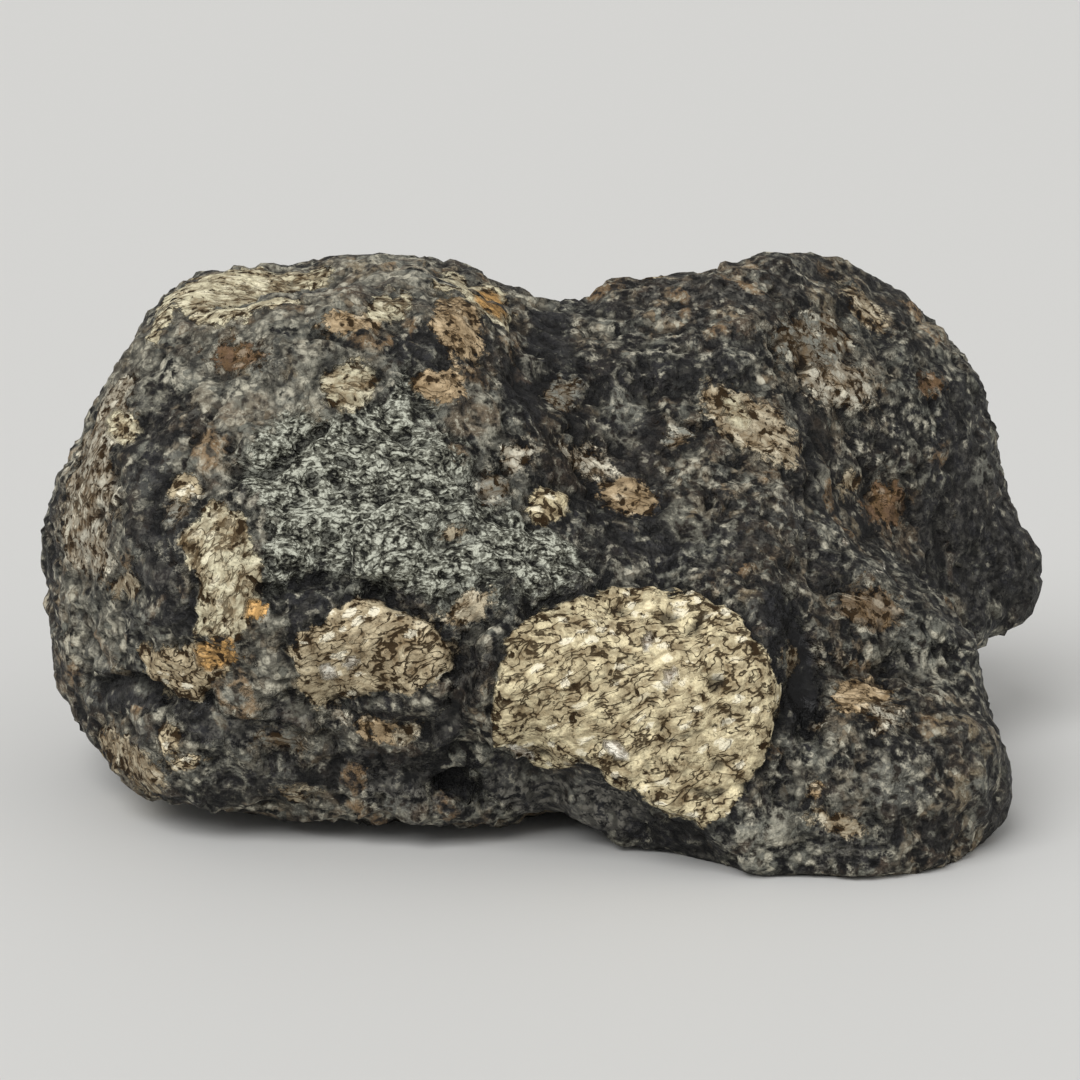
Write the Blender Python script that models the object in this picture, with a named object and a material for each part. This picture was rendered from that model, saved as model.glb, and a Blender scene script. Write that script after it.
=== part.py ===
"""A eucrite melt breccia: one natural stone, a fragment of a stony meteorite that fills a palm.

Metres, +Z up. +X runs along the stone's length and -Y points out of its best face.
The origin is under the middle of the stone, at the level that it rests on.
The shape is worked out in millimetres, and turned into metres when the mesh is made.
"""

import bmesh
import bpy
import numpy as np

MM = 0.001

# The net that is drawn over the stone: its cells along X, Y and Z, how far it is stretched that way
# before it is evened out, the rounds of that, and how far a point goes each round towards the
# middle of its neighbours
CELLS = (37, 24, 19)
SPREAD = np.array((1.5, 1.0, 0.8))
EVENING_ROUNDS = 40
EVENING_PULL = 0.6

# The place under the middle of the stone, which the finished mesh has as its origin
MIDDLE = np.array((1.31, 6.18, 0.0))

# A point inside the stone that the net is first cast out from, how far, and in which steps
HEART = np.array((2.0, 3.0, 13.0))
REACH = 62.0
CAST_STEPS = 124
CAST_HALVINGS = 12

# How a point settles on the skin: the rounds at the end, the step over which the field's slope is
# measured, the furthest that a point may slide in a round, and the least slope that is trusted
SETTLING_ROUNDS = 4
SLOPE_STEP = 0.05
LONGEST_SLIDE = 1.0
LEAST_SLOPE_SQUARED = 0.2

# The stone is blocks fused together. A block has a centre and flat faces, each with its bearing
# and lift in degrees and its distance from the centre. Bearing 0 is +X, -90 is the front, and
# lift 90 is straight up.
BLOCKS = {
    "left block": ((-16.0, 4.0, 18.0), (
        (130, 88, 19.3), (-120, 78, 18.6), (-90, 36, 16.6), (-90, -17, 19.3), (180, 0, 20.1),
        (180, 28, 18.8), (-147, 0, 17.4), (-130, 40, 17.4), (-173, -38, 21.8), (-118, -80, 18.4),
        (-10, 42, 20.2), (-45, 35, 20.2), (0, 0, 18.5), (90, 0, 22.0), (90, 45, 24.0), (140, 0, 22.0),
        (100, -45, 22.0), (100, -76, 18.4), (-39, -76, 20.8))),
    "middle": ((5.0, 4.0, 12.0), (
        (-86, 52, 14.3), (-90, 88, 21.4), (90, 0, 22.0), (90, 45, 24.0), (-90, 3, 22.0),
        (0, 0, 12.0), (-25, 0, 18.0), (-155, 0, 20.0), (180, 0, 17.0), (-105, -60, 12.4),
        (90, -60, 18.0))),
    "back lump": ((20.0, 16.0, 18.0), (
        (180, 82, 18.9), (0, 52, 16.6), (0, 19, 16.1), (-70, 38, 13.0), (-50, 10, 9.6),
        (-115, 45, 18.6), (-40, 45, 13.5), (-20, 5, 14.2), (90, 0, 14.5), (90, 45, 19.0), (45, 0, 18.0),
        (0, -30, 19.9), (0, -58, 15.9), (-40, -50, 17.0), (90, -62, 20.0), (180, 0, 16.0))),
    "shoulder": ((16.0, 0.0, 9.0), (
        (0, 49, 11.3), (-80, 68, 9.6), (90, 20, 10.0), (0, 0, 12.8), (180, 0, 12.0),
        (-90, 12, 14.0), (-50, 10, 13.2), (-90, -90, 6.0))),
    "foot": ((19.0, -7.0, 6.0), (
        (-90, 5, 11.2), (-90, 63, 5.4), (0, 22, 11.5), (-40, -10, 12.8), (-10, -40, 13.8),
        (90, 0, 9.0), (90, -80, 7.4), (180, 10, 14.0), (-165, -68, 9.6))),
}
ROUND_EDGE = 3.0
FUSE = 5.0

# Soft ridges and bumps, and grooves and dents where the height is less than nothing:
# from, to, half the width and the height
RELIEF = {
    "peak": ((-8.0, 5.0, 36.8), (-3.0, 5.5, 35.0), 1.8, 0.7),
    "top ridge": ((-27.0, 1.5, 33.0), (-14.6, -0.3, 36.0), 2.0, 0.5),
    "slope right of the peak": ((-5.0, 13.0, 35.4), (1.4, 12.0, 33.4), 2.6, 0.6),
    "crease beside the peak": ((-0.5, 5.0, 33.5), (-1.5, -3.0, 29.5), 1.6, -0.5),
    "big clast": ((2.5, -16.8, 13.0), (9.5, -17.0, 12.5), 4.0, 0.6),
    "seam left of the big clast": ((-4.6, -16.0, 17.0), (-5.6, -16.0, 9.5), 1.3, -0.8),
    "rim of the big clast": ((-2.6, -16.1, 16.0), (-2.8, -16.3, 8.7), 1.2, 0.6),
    "brow of the big clast": ((0.5, -12.5, 18.5), (9.5, -11.5, 18.0), 1.5, 0.6),
    "second clast": ((-15.0, -15.4, 15.2), (-8.5, -15.8, 15.0), 2.6, 0.6),
    "groove over the second clast": ((-18.4, -15.2, 19.0), (-13.9, -15.0, 19.9), 1.3, -0.6),
    "end of that groove": ((-13.9, -15.0, 19.9), (-7.0, -15.5, 18.2), 1.3, -0.7),
    "shoulder ridge": ((15.6, -10.5, 17.3), (23.7, -4.8, 16.7), 1.8, 0.5),
    "end of the shoulder ridge": ((23.7, -4.8, 16.7), (28.0, -7.0, 13.5), 1.6, 0.5),
    "groove over the foot": ((18.6, -13.0, 13.0), (27.5, -9.0, 12.2), 1.7, -1.2),
    "knuckle of the foot": ((22.5, -15.5, 9.2), (25.5, -13.0, 8.6), 3.4, 0.8),
    "brown lobe of the shoulder": ((22.6, -8.0, 15.6), (25.0, -6.5, 14.8), 2.6, 0.7),
    "slope beside the lump": ((18.6, 1.6, 23.0), (20.4, -3.6, 18.6), 3.2, 1.5),
    "lobe low on the lump": ((26.0, 9.4, 21.8), (28.2, 9.6, 19.8), 2.4, 0.8),
    "channel right of the big clast": ((16.7, -10.5, 16.6), (17.4, -15.0, 11.4), 1.6, -0.9),
    "foot of the channel": ((17.4, -15.0, 11.4), (16.4, -18.0, 6.0), 1.5, -0.7),
    "left edge of the front": ((-27.0, -3.0, 29.8), (-27.5, -10.0, 20.0), 2.0, 0.5),
    "hollow low on the left": ((-28.0, -9.3, 10.0), (-23.0, -13.5, 11.0), 2.2, -0.8),
    "round clast": ((-12.9, -6.8, 31.4), (-12.9, -6.8, 31.4), 1.7, 0.6),
    "brown clast": ((-6.8, -6.8, 31.4), (-6.5, -5.0, 32.2), 1.7, 0.5),
    "ringed clast": ((0.5, -11.7, 24.1), (0.5, -11.7, 24.1), 1.3, 0.5),
    "long clast on the lump": ((13.0, 1.0, 27.8), (16.5, 2.5, 26.0), 1.8, 0.6),
    "pale clast on the lump": ((21.9, 9.3, 29.2), (21.9, 9.3, 29.2), 2.4, 0.6),
    "dent in the lump": ((26.5, 9.2, 20.3), (26.5, 9.2, 20.3), 2.2, -0.7),
    "arch at the front": ((3.6, -13.0, 0.0), (5.0, -2.0, 0.0), 4.2, -1.3),
    "arch under the middle": ((2.0, 5.0, 0.0), (-1.0, 16.0, 0.0), 6.0, -2.8),
    "arch at the back": ((-1.0, 18.0, 0.0), (2.0, 28.0, 0.0), 6.0, -3.5),
    "arch behind the foot": ((6.0, 4.0, 0.0), (28.0, 6.0, 0.0), 6.0, -4.0),
    "arch between the foot and the lump": ((10.0, 0.0, 0.0), (9.0, 12.0, 0.0), 3.5, -1.4),
    "arch under the left end": ((-24.0, 13.0, 0.0), (-10.0, 15.0, 0.0), 5.0, -2.0),
    "low edge under the left block": ((-10.5, -13.0, 3.0), (-7.5, -13.0, 3.0), 2.2, 0.5),
    "dent high on the lump": ((28.6, 21.0, 32.4), (28.6, 21.0, 32.4), 2.6, -0.5),
    "right bulge": ((36.8, 19.0, 12.8), (36.8, 19.0, 12.0), 3.6, 2.4),
}

# Hollows scooped out of the body, with a sharper rim: from, to and radius
HOLLOWS = {
    "undercut": ((-2.0, -21.0, 1.6), (7.0, -21.1, -2.9), 8.0),
}
RIM = 0.8

# Thumbprint hollows over the top, the back and the ends, scattered by a seed
THUMBPRINTS = 22
THUMBPRINT_SEED = 11
THUMBPRINT_WIDTH = (2.6, 5.0)
THUMBPRINT_DEPTH = (0.5, 1.1)
THUMBPRINT_LOWEST = -0.5

# Lumpiness all over: the size of the lumps and their height, and the corners along each side of
# the lattice of random values that it repeats
LUMPS = ((8.0, 0.45), (4.4, 0.32))
LUMP_SEED = 5
LATTICE = 32

# The pit under the lip: its middle, its radii and its turn in degrees
PIT_CENTRE = (-5.8, -13.2, 4.8)
PIT_RADII = (1.7, 3.2, 0.95)
PIT_TURN = (-10.0, 14.0, 0.0)

STONE_COLOUR = (0.115, 0.108, 0.095, 1.0)
STONE_ROUGHNESS = 0.62


def smooth_min(a, b, width):
    """The lesser of two fields, rounded over where they are within width of each other."""
    near = np.clip(0.5 + 0.5 * (b - a) / width, 0.0, 1.0)
    return b + (a - b) * near - width * near * (1.0 - near)


def facing(bearing, lift):
    """The unit vector at a bearing and a lift, both in degrees."""
    bearing, lift = np.radians(bearing), np.radians(lift)
    return np.array((np.cos(lift) * np.cos(bearing), np.cos(lift) * np.sin(bearing), np.sin(lift)))


def block_field(points, centre, faces):
    """About the distance outside a block with rounded edges, less than nothing inside it."""
    field = np.full(len(points), -1e3)
    for bearing, lift, distance in faces:
        face = (points - np.array(centre)) @ facing(bearing, lift) - distance
        field = -smooth_min(-field, -face, ROUND_EDGE)
    return field


def distance_to_run(points, start, end):
    """The distance of each point from the straight run between two places."""
    start, run = np.array(start), np.array(end) - np.array(start)
    along = np.clip((points - start) @ run / max(run @ run, 1e-9), 0.0, 1.0)
    return np.linalg.norm(points - start - along[:, None] * run, axis=1)


def lumpiness(points, size, seed):
    """Values from -1 to 1 that change smoothly: the random corners of a lattice, blended."""
    corners = np.random.default_rng(seed).uniform(-1.0, 1.0, (LATTICE, LATTICE, LATTICE))
    place = points / size + LATTICE / 2
    cell = np.floor(place).astype(int)
    part = place - cell
    part = part * part * (3.0 - 2.0 * part)
    value = np.zeros(len(points))
    for step in np.ndindex(2, 2, 2):
        share = np.prod(np.where(step, part, 1.0 - part), axis=1)
        value += share * corners[tuple(((cell + step) % LATTICE).T)]
    return value


def plain_field(points):
    """The fused blocks with the hollows scooped out, before the relief and the flat cut below."""
    field = np.full(len(points), 1e3)
    for centre, faces in BLOCKS.values():
        field = smooth_min(field, block_field(points, centre, faces), FUSE)
    for start, end, radius in HOLLOWS.values():
        field = -smooth_min(-field, distance_to_run(points, start, end) - radius, RIM)
    return field


def cast(directions):
    """Points on the plain skin: the first place along each direction where the field turns positive."""
    low = np.zeros(len(directions))
    high = np.full(len(directions), REACH)
    still_inside = np.ones(len(directions), dtype=bool)
    for step in np.linspace(0.0, REACH, CAST_STEPS + 1)[1:]:
        outside = plain_field(HEART + directions * step) > 0.0
        high[still_inside & outside] = step
        still_inside &= ~outside
        low[still_inside] = step
    for _ in range(CAST_HALVINGS):
        middle = 0.5 * (low + high)
        outside = plain_field(HEART + directions * middle[:, None]) > 0.0
        high = np.where(outside, middle, high)
        low = np.where(outside, low, middle)
    return HEART + directions * low[:, None]


def scatter_thumbprints():
    """Dents in the RELIEF form, cast out in random directions that don't face the front."""
    rng = np.random.default_rng(THUMBPRINT_SEED)
    directions = rng.normal(size=(THUMBPRINTS * 4, 3))
    directions /= np.linalg.norm(directions, axis=1)[:, None]
    kept = (directions[:, 1] > 0.0) & (directions[:, 2] > THUMBPRINT_LOWEST)
    for place in cast(directions[kept][:THUMBPRINTS]):
        yield place, place, rng.uniform(*THUMBPRINT_WIDTH), -rng.uniform(*THUMBPRINT_DEPTH)


def skin_field(points, thumbprints):
    """The plain field with its relief, cut off flat where the stone rests."""
    field = plain_field(points)
    for start, end, width, height in list(RELIEF.values()) + thumbprints:
        field -= height * np.exp(-(distance_to_run(points, start, end) / width) ** 2)
    for size, height in LUMPS:
        field -= height * lumpiness(points, size, LUMP_SEED)
    return np.maximum(field, -points[:, 2])


def settle(points, thumbprints, rounds):
    """Points slid straight in or out until they lie on the skin."""
    for _ in range(rounds):
        here = skin_field(points, thumbprints)
        ahead = [skin_field(points + SLOPE_STEP * way, thumbprints) for way in np.eye(3)]
        slope = (np.stack(ahead, axis=1) - here[:, None]) / SLOPE_STEP
        steepness = np.maximum((slope ** 2).sum(axis=1), LEAST_SLOPE_SQUARED)
        slide = np.clip(here / steepness, -LONGEST_SLIDE, LONGEST_SLIDE)
        points = points - slide[:, None] * slope
    return points


def net_of_box(cells):
    """A box of cells along its three axes, from -1 to 1 each way, as points and four-sided faces."""
    index, points, faces = {}, [], []
    for axis in range(3):
        u, v = (axis + 1) % 3, (axis + 2) % 3
        for side in (0, cells[axis]):
            for i, j in np.ndindex(cells[u], cells[v]):
                corners = []
                for di, dj in ((0, 0), (1, 0), (1, 1), (0, 1)):
                    key = [0, 0, 0]
                    key[axis], key[u], key[v] = side, i + di, j + dj
                    key = tuple(key)
                    if key not in index:
                        index[key] = len(points)
                        points.append([2.0 * k / n - 1.0 for k, n in zip(key, cells)])
                    corners.append(index[key])
                faces.append(corners if side else corners[::-1])
    return np.array(points), np.array(faces)


def even_out(points, faces, thumbprints):
    """The net's points drawn towards the middle of their neighbours, and settled again each time."""
    edges = np.concatenate([faces[:, (i, (i + 1) % 4)] for i in range(4)])
    count = np.bincount(edges[:, 0], minlength=len(points))
    for _ in range(EVENING_ROUNDS):
        total = [np.bincount(edges[:, 0], points[edges[:, 1], k], len(points)) for k in range(3)]
        middle = np.stack(total, axis=1) / count[:, None]
        points = settle(points + EVENING_PULL * (middle - points), thumbprints, 1)
    return points


def make_stone():
    """The net of a box, cast onto the skin, evened out and settled."""
    points, faces = net_of_box(CELLS)
    directions = np.tan(points * np.pi / 4.0) * SPREAD
    directions /= np.linalg.norm(directions, axis=1)[:, None]
    thumbprints = list(scatter_thumbprints())
    skin = even_out(cast(directions), faces, thumbprints)
    skin = settle(skin, thumbprints, SETTLING_ROUNDS)
    skin[:, 2] = np.maximum(skin[:, 2], 0.0)
    mesh = bpy.data.meshes.new("stone")
    mesh.from_pydata(((skin - MIDDLE) * MM).tolist(), [], faces.tolist())
    mesh.shade_smooth()
    stone = bpy.data.objects.new("stone", mesh)
    bpy.context.scene.collection.objects.link(stone)
    return stone


def cut_pit(stone):
    """The small dark pit under the lip, cut by a stretched ball."""
    mesh = bpy.data.meshes.new("pit cutter")
    ball = bmesh.new()
    bmesh.ops.create_icosphere(ball, subdivisions=2, radius=1.0)
    bmesh.ops.scale(ball, vec=np.array(PIT_RADII) * MM, verts=ball.verts)
    ball.to_mesh(mesh)
    ball.free()
    cutter = bpy.data.objects.new("pit cutter", mesh)
    bpy.context.scene.collection.objects.link(cutter)
    cutter.location = (np.array(PIT_CENTRE) - MIDDLE) * MM
    cutter.rotation_euler = np.radians(PIT_TURN)
    cutter.hide_render = True
    cutter.display_type = "WIRE"
    cut = stone.modifiers.new("pit", "BOOLEAN")
    cut.operation = "DIFFERENCE"
    cut.solver = "EXACT"
    cut.object = cutter


def paint(stone):
    """The near-black glassy rock, in one even colour."""
    material = bpy.data.materials.new("melt breccia")
    material.use_nodes = True
    shader = material.node_tree.nodes["Principled BSDF"]
    shader.inputs["Base Color"].default_value = STONE_COLOUR
    shader.inputs["Roughness"].default_value = STONE_ROUGHNESS
    shader.inputs["Metallic"].default_value = 0.0
    stone.data.materials.append(material)


def main():
    for obj in list(bpy.data.objects):
        bpy.data.objects.remove(obj)
    stone = make_stone()
    cut_pit(stone)
    paint(stone)


main()
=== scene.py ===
# Eucrite melt breccia, dressed: one stone of near-black melt that holds pale clasts.
# The script works in stone millimetres (+X along the stone, -Y out of its best face, +Z up)
# and turns them into metres when the mesh is made.

import bpy
import numpy as np
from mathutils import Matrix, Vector


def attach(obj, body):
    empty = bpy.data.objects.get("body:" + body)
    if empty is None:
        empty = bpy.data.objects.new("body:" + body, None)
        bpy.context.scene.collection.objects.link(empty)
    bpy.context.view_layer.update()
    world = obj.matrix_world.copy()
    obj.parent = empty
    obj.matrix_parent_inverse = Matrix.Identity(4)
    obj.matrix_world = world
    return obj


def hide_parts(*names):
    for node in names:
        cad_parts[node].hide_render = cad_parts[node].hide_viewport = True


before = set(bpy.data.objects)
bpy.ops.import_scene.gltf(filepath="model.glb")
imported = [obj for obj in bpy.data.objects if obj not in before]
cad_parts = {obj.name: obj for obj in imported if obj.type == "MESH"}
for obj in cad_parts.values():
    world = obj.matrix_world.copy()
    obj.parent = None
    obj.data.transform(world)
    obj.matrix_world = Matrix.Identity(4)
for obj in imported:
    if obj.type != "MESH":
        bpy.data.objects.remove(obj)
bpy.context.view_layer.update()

mm = 0.001

# The camera's place, which is also the place that the front's markings are laid out from
sight = {
    "aim": (0.0, 0.0, 19.2),
    "distance": 230.0,
    "elevation": 12.0,  # degrees above the horizon
    "lens": 108.1,
    "sensor": 36.0,
    "nearest": 0.01,  # metres, nothing nearer is drawn
}

# The stone's main form: fused blocks, each a centre and flat faces (bearing, lift, distance)
form = {
    "middle": (1.31, 6.18, 0.0),  # the place that the finished mesh has as its origin
    "blocks": {
        "left block": ((-16.0, 4.0, 18.0), (
            (130, 88, 19.3), (-120, 78, 18.6), (-90, 36, 16.6), (-90, -17, 19.3), (180, 0, 20.1),
            (180, 28, 18.8), (-147, 0, 17.4), (-130, 40, 17.4), (-173, -38, 21.8), (-118, -80, 18.4),
            (-10, 42, 20.2), (-45, 35, 20.2), (0, 0, 18.5), (90, 0, 22.0), (90, 45, 24.0),
            (140, 0, 22.0), (100, -45, 22.0), (100, -76, 18.4), (-39, -76, 20.8))),
        "middle": ((5.0, 4.0, 12.0), (
            (-86, 52, 14.3), (-90, 88, 21.4), (90, 0, 22.0), (90, 45, 24.0), (-90, 3, 22.0),
            (0, 0, 12.0), (-25, 0, 18.0), (-155, 0, 20.0), (180, 0, 17.0), (-105, -60, 12.4),
            (90, -60, 18.0))),
        "back lump": ((20.0, 16.0, 18.0), (
            (180, 82, 18.9), (0, 52, 16.6), (0, 19, 16.1), (-70, 38, 13.0), (-50, 10, 9.6),
            (-115, 45, 18.6), (-40, 45, 13.5), (-20, 5, 14.2), (90, 0, 14.5), (90, 45, 19.0),
            (45, 0, 18.0), (0, -30, 19.9), (0, -58, 15.9), (-40, -50, 17.0), (90, -62, 20.0),
            (180, 0, 16.0))),
        "shoulder": ((16.0, 0.0, 9.0), (
            (0, 49, 11.3), (-80, 68, 9.6), (90, 20, 10.0), (0, 0, 12.8), (180, 0, 12.0),
            (-90, 12, 14.0), (-50, 10, 13.2), (-90, -90, 6.0))),
        "foot": ((19.0, -7.0, 6.0), (
            (-90, 5, 11.2), (-90, 63, 5.4), (0, 22, 11.5), (-40, -10, 12.8), (-10, -40, 13.8),
            (90, 0, 9.0), (90, -80, 7.4), (180, 10, 14.0), (-165, -68, 9.6))),
    },
    "round edge": 3.0,
    "fuse": 5.0,
    "hollows": {
        "undercut": ((-2.0, -21.0, 1.6), (7.0, -21.1, -2.9), 8.0),
        "pit under the lip": ((-5.6, -15.6, 4.7), (-5.2, -11.6, 4.2), 1.15),
        "end of the pit": ((-6.6, -14.6, 4.3), (-5.2, -12.4, 4.7), 0.9),
    },
    "rim": 0.8,
    # Soft ridges and dents: from, to, half the width and the height
    "relief": {
        "peak": ((-8.0, 5.0, 36.8), (-3.0, 5.5, 35.0), 1.8, 0.7),
        "top ridge": ((-27.0, 1.5, 33.0), (-14.6, -0.3, 36.0), 2.0, 0.5),
        "slope right of the peak": ((-5.0, 13.0, 35.4), (1.4, 12.0, 33.4), 2.6, 0.6),
        "crease beside the peak": ((-0.5, 5.0, 33.5), (-1.5, -3.0, 29.5), 1.6, -0.5),
        "big clast": ((2.5, -16.8, 13.0), (9.5, -17.0, 12.5), 4.0, 0.6),
        "seam left of the big clast": ((-4.6, -16.0, 17.0), (-5.6, -16.0, 9.5), 1.3, -0.8),
        "rim of the big clast": ((-2.6, -16.1, 16.0), (-2.8, -16.3, 8.7), 1.2, 0.6),
        "brow of the big clast": ((0.5, -12.5, 18.5), (9.5, -11.5, 18.0), 1.5, 0.6),
        "second clast": ((-15.0, -15.4, 15.2), (-8.5, -15.8, 15.0), 2.6, 0.6),
        "groove over the second clast": ((-18.4, -15.2, 19.0), (-13.9, -15.0, 19.9), 1.3, -0.6),
        "end of that groove": ((-13.9, -15.0, 19.9), (-7.0, -15.5, 18.2), 1.3, -0.7),
        "shoulder ridge": ((15.6, -10.5, 17.3), (23.7, -4.8, 16.7), 1.8, 0.5),
        "end of the shoulder ridge": ((23.7, -4.8, 16.7), (28.0, -7.0, 13.5), 1.6, 0.5),
        "groove over the foot": ((18.6, -13.0, 13.0), (27.5, -9.0, 12.2), 1.7, -1.2),
        "knuckle of the foot": ((22.5, -15.5, 9.2), (25.5, -13.0, 8.6), 3.4, 0.8),
        "brown lobe of the shoulder": ((22.6, -8.0, 15.6), (25.0, -6.5, 14.8), 2.6, 0.7),
        "slope beside the lump": ((18.6, 1.6, 23.0), (20.4, -3.6, 18.6), 3.2, 1.5),
        "lobe low on the lump": ((26.0, 9.4, 21.8), (28.2, 9.6, 19.8), 2.4, 0.8),
        "channel right of the big clast": ((16.7, -10.5, 16.6), (17.4, -15.0, 11.4), 1.6, -0.9),
        "foot of the channel": ((17.4, -15.0, 11.4), (16.4, -18.0, 6.0), 1.5, -0.7),
        "left edge of the front": ((-27.0, -3.0, 29.8), (-27.5, -10.0, 20.0), 2.0, 0.5),
        "hollow low on the left": ((-28.0, -9.3, 10.0), (-23.0, -13.5, 11.0), 2.2, -0.8),
        "round clast": ((-12.9, -6.8, 31.4), (-12.9, -6.8, 31.4), 1.7, 0.6),
        "brown clast": ((-6.8, -6.8, 31.4), (-6.5, -5.0, 32.2), 1.7, 0.5),
        "ringed clast": ((0.5, -11.7, 24.1), (0.5, -11.7, 24.1), 1.3, 0.5),
        "long clast on the lump": ((13.0, 1.0, 27.8), (16.5, 2.5, 26.0), 1.8, 0.6),
        "pale clast on the lump": ((21.9, 9.3, 29.2), (21.9, 9.3, 29.2), 2.4, 0.6),
        "dent in the lump": ((26.5, 9.2, 20.3), (26.5, 9.2, 20.3), 2.2, -0.7),
        "arch at the front": ((3.6, -13.0, 0.0), (5.0, -2.0, 0.0), 4.2, -1.3),
        "arch under the middle": ((2.0, 5.0, 0.0), (-1.0, 16.0, 0.0), 6.0, -2.8),
        "arch at the back": ((-1.0, 18.0, 0.0), (2.0, 28.0, 0.0), 6.0, -3.5),
        "arch behind the foot": ((6.0, 4.0, 0.0), (28.0, 6.0, 0.0), 6.0, -4.0),
        "arch between the foot and the lump": ((10.0, 0.0, 0.0), (9.0, 12.0, 0.0), 3.5, -1.4),
        "arch under the left end": ((-24.0, 13.0, 0.0), (-10.0, 15.0, 0.0), 5.0, -2.0),
        "low edge under the left block": ((-10.5, -13.0, 3.0), (-7.5, -13.0, 3.0), 2.2, 0.5),
        "dent high on the lump": ((28.6, 21.0, 32.4), (28.6, 21.0, 32.4), 2.6, -0.5),
        "right bulge": ((36.8, 19.0, 12.8), (36.8, 19.0, 12.0), 3.6, 2.4),
    },
    "thumbprints": {"count": 22, "seed": 11, "width": (2.6, 5.0), "depth": (0.5, 1.1), "lowest": -0.5},
    "lumps": ((8.0, 0.45), (4.4, 0.32)),  # size and height
    "lump seed": 5,
}

# The net that is drawn over the stone: a coarse one, which is evened out and then split twice
net = {
    "cells": (44, 28, 23),
    "spread": (1.5, 1.0, 0.8),
    "heart": (2.0, 3.0, 13.0),
    "reach": 62.0,
    "cast steps": 124,
    "halvings": 12,
    "rounds": 30,
    "fine rounds": 2,
    "pull": 0.6,
    "slope step": 0.05,
    "longest slide": 1.0,
    "least slope": 0.2,
}


def smoothMin(a, b, width):  # the lesser of two fields, rounded over where they are within width
    near = np.clip(0.5 + 0.5 * (b - a) / width, 0.0, 1.0)
    return b + (a - b) * near - width * near * (1.0 - near)


def smoothStep(low, high, value):  # rises from 0 at low to 1 at high, level at both ends
    part = np.clip((value - low) / (high - low), 0.0, 1.0)
    return part * part * (3.0 - 2.0 * part)


def facing(bearing, lift):  # the unit vector at a bearing and a lift
    bearing, lift = np.radians(bearing), np.radians(lift)
    return np.array((np.cos(lift) * np.cos(bearing), np.cos(lift) * np.sin(bearing), np.sin(lift)))


def blockField(points, centre, faces):  # the furthest of the face distances, its edges rounded over
    field = np.full(len(points), -1e3)
    for bearing, lift, distance in faces:
        face = (points - np.array(centre)) @ facing(bearing, lift) - distance
        field = -smoothMin(-field, -face, form["round edge"])
    return field


def distanceToRun(points, start, end):  # the distance from the straight run between two places
    start, run = np.array(start), np.array(end) - np.array(start)
    along = np.clip((points - start) @ run / max(run @ run, 1e-9), 0.0, 1.0)
    return np.linalg.norm(points - start - along[:, None] * run, axis=1)


def lumpiness(points, size, seed):  # -1 to 1: the random corners of a lattice, blended smoothly
    lattice = 32
    corners = np.random.default_rng(seed).uniform(-1.0, 1.0, (lattice, lattice, lattice))
    place = points / size + lattice / 2
    cell = np.floor(place).astype(int)
    part = place - cell
    part = part * part * (3.0 - 2.0 * part)
    value = np.zeros(len(points))
    for step in np.ndindex(2, 2, 2):
        share = np.prod(np.where(step, part, 1.0 - part), axis=1)
        value += share * corners[tuple(((cell + step) % lattice).T)]
    return value


# How the layers of grain differ: each is turned by so many degrees, and has this share of the
# height of the one before
grainLayers = {"turn": 37.0, "fade": 0.55}


def grain(points, size, layers, seed):  # lumpiness in layers, each turned, half as wide and lower
    value, height = np.zeros(len(points)), 1.0
    for layer in range(layers):
        turn = np.radians(grainLayers["turn"] * layer)
        turned = points @ np.array(((np.cos(turn), 0.0, np.sin(turn)), (0.3, 0.95, 0.0),
                                    (-np.sin(turn), 0.1, np.cos(turn))))
        value += height * lumpiness(turned, size / 2 ** layer, seed + layer)
        height *= grainLayers["fade"]
    return value


# Random unevenness, in millimetres or as a share: mean, spread, size in millimetres, layers and seed
uneven = {
    "clast edge": (0.0, 0.50, 1.7, 3, 40),
    "crust edge": (0.0, 1.1, 2.6, 3, 70),
    "glass edge": (0.0, 0.5, 2.6, 3, 80),
    "hidden glass": (-0.5, 1.6, 9.0, 2, 90),
    "crowd": (0.46, 0.30, 7.0, 2, 110),
    "warmth": (0.42, 0.50, 11.0, 2, 120),
    "dust": (0.30, 0.25, 5.0, 2, 125),
    "patch edge": (0.0, 0.35, 3.0, 2, 130),
    "mottled crowd": (0.0, 0.20, 2.8, 2, 170),
    "mottled warmth": (0.0, 0.30, 3.2, 2, 180),
    "stain": (0.5, 0.4, 3.6, 2, 190),
}

# Random shifts of places: how far, size and seed
shifts = {"chips": (0.5, 1.4, 140), "folds": (0.8, 2.6, 150), "grains": (0.20, 1.6, 160)}


def unevenness(points, name):  # the mean plus the spread times the grain
    mean, spread, size, layers, seed = uneven[name]
    return mean + spread * grain(points, size, layers, seed)


def shift(points, name):  # a random offset for each point, grain along each axis
    reach, size, seed = shifts[name]
    return reach * np.stack([grain(points, size, 2, seed + 7 * k) for k in range(3)], axis=1)


def cellsOf(points, size, seed):
    # One centre in each cell of a lattice, off its middle at random: how much further off the next
    # centre is than the nearest one, and three dice that belong to the nearest
    lattice = 40
    rng = np.random.default_rng(seed)
    offsets = rng.random((lattice, lattice, lattice, 3))
    dice = rng.random((lattice, lattice, lattice, 3))
    cell = np.floor(points / size).astype(int)
    nearest, second = np.full(len(points), 9.0), np.full(len(points), 9.0)
    own = np.zeros((len(points), 3))
    for step in np.ndindex(3, 3, 3):
        here = cell + step - 1
        key = tuple((here % lattice).T)
        reach = np.linalg.norm(points / size - here - offsets[key], axis=1)
        closer = reach < nearest
        second = np.where(closer, nearest, np.minimum(second, reach))
        own = np.where(closer[:, None], dice[key], own)
        nearest = np.where(closer, reach, nearest)
    return (second - nearest) * size, own


def folds(points, size, seed):  # 1 along winding crests, lower between them: 1 less the doubled lumpiness
    return 1.0 - 2.0 * np.abs(lumpiness(points, size, seed))


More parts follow.
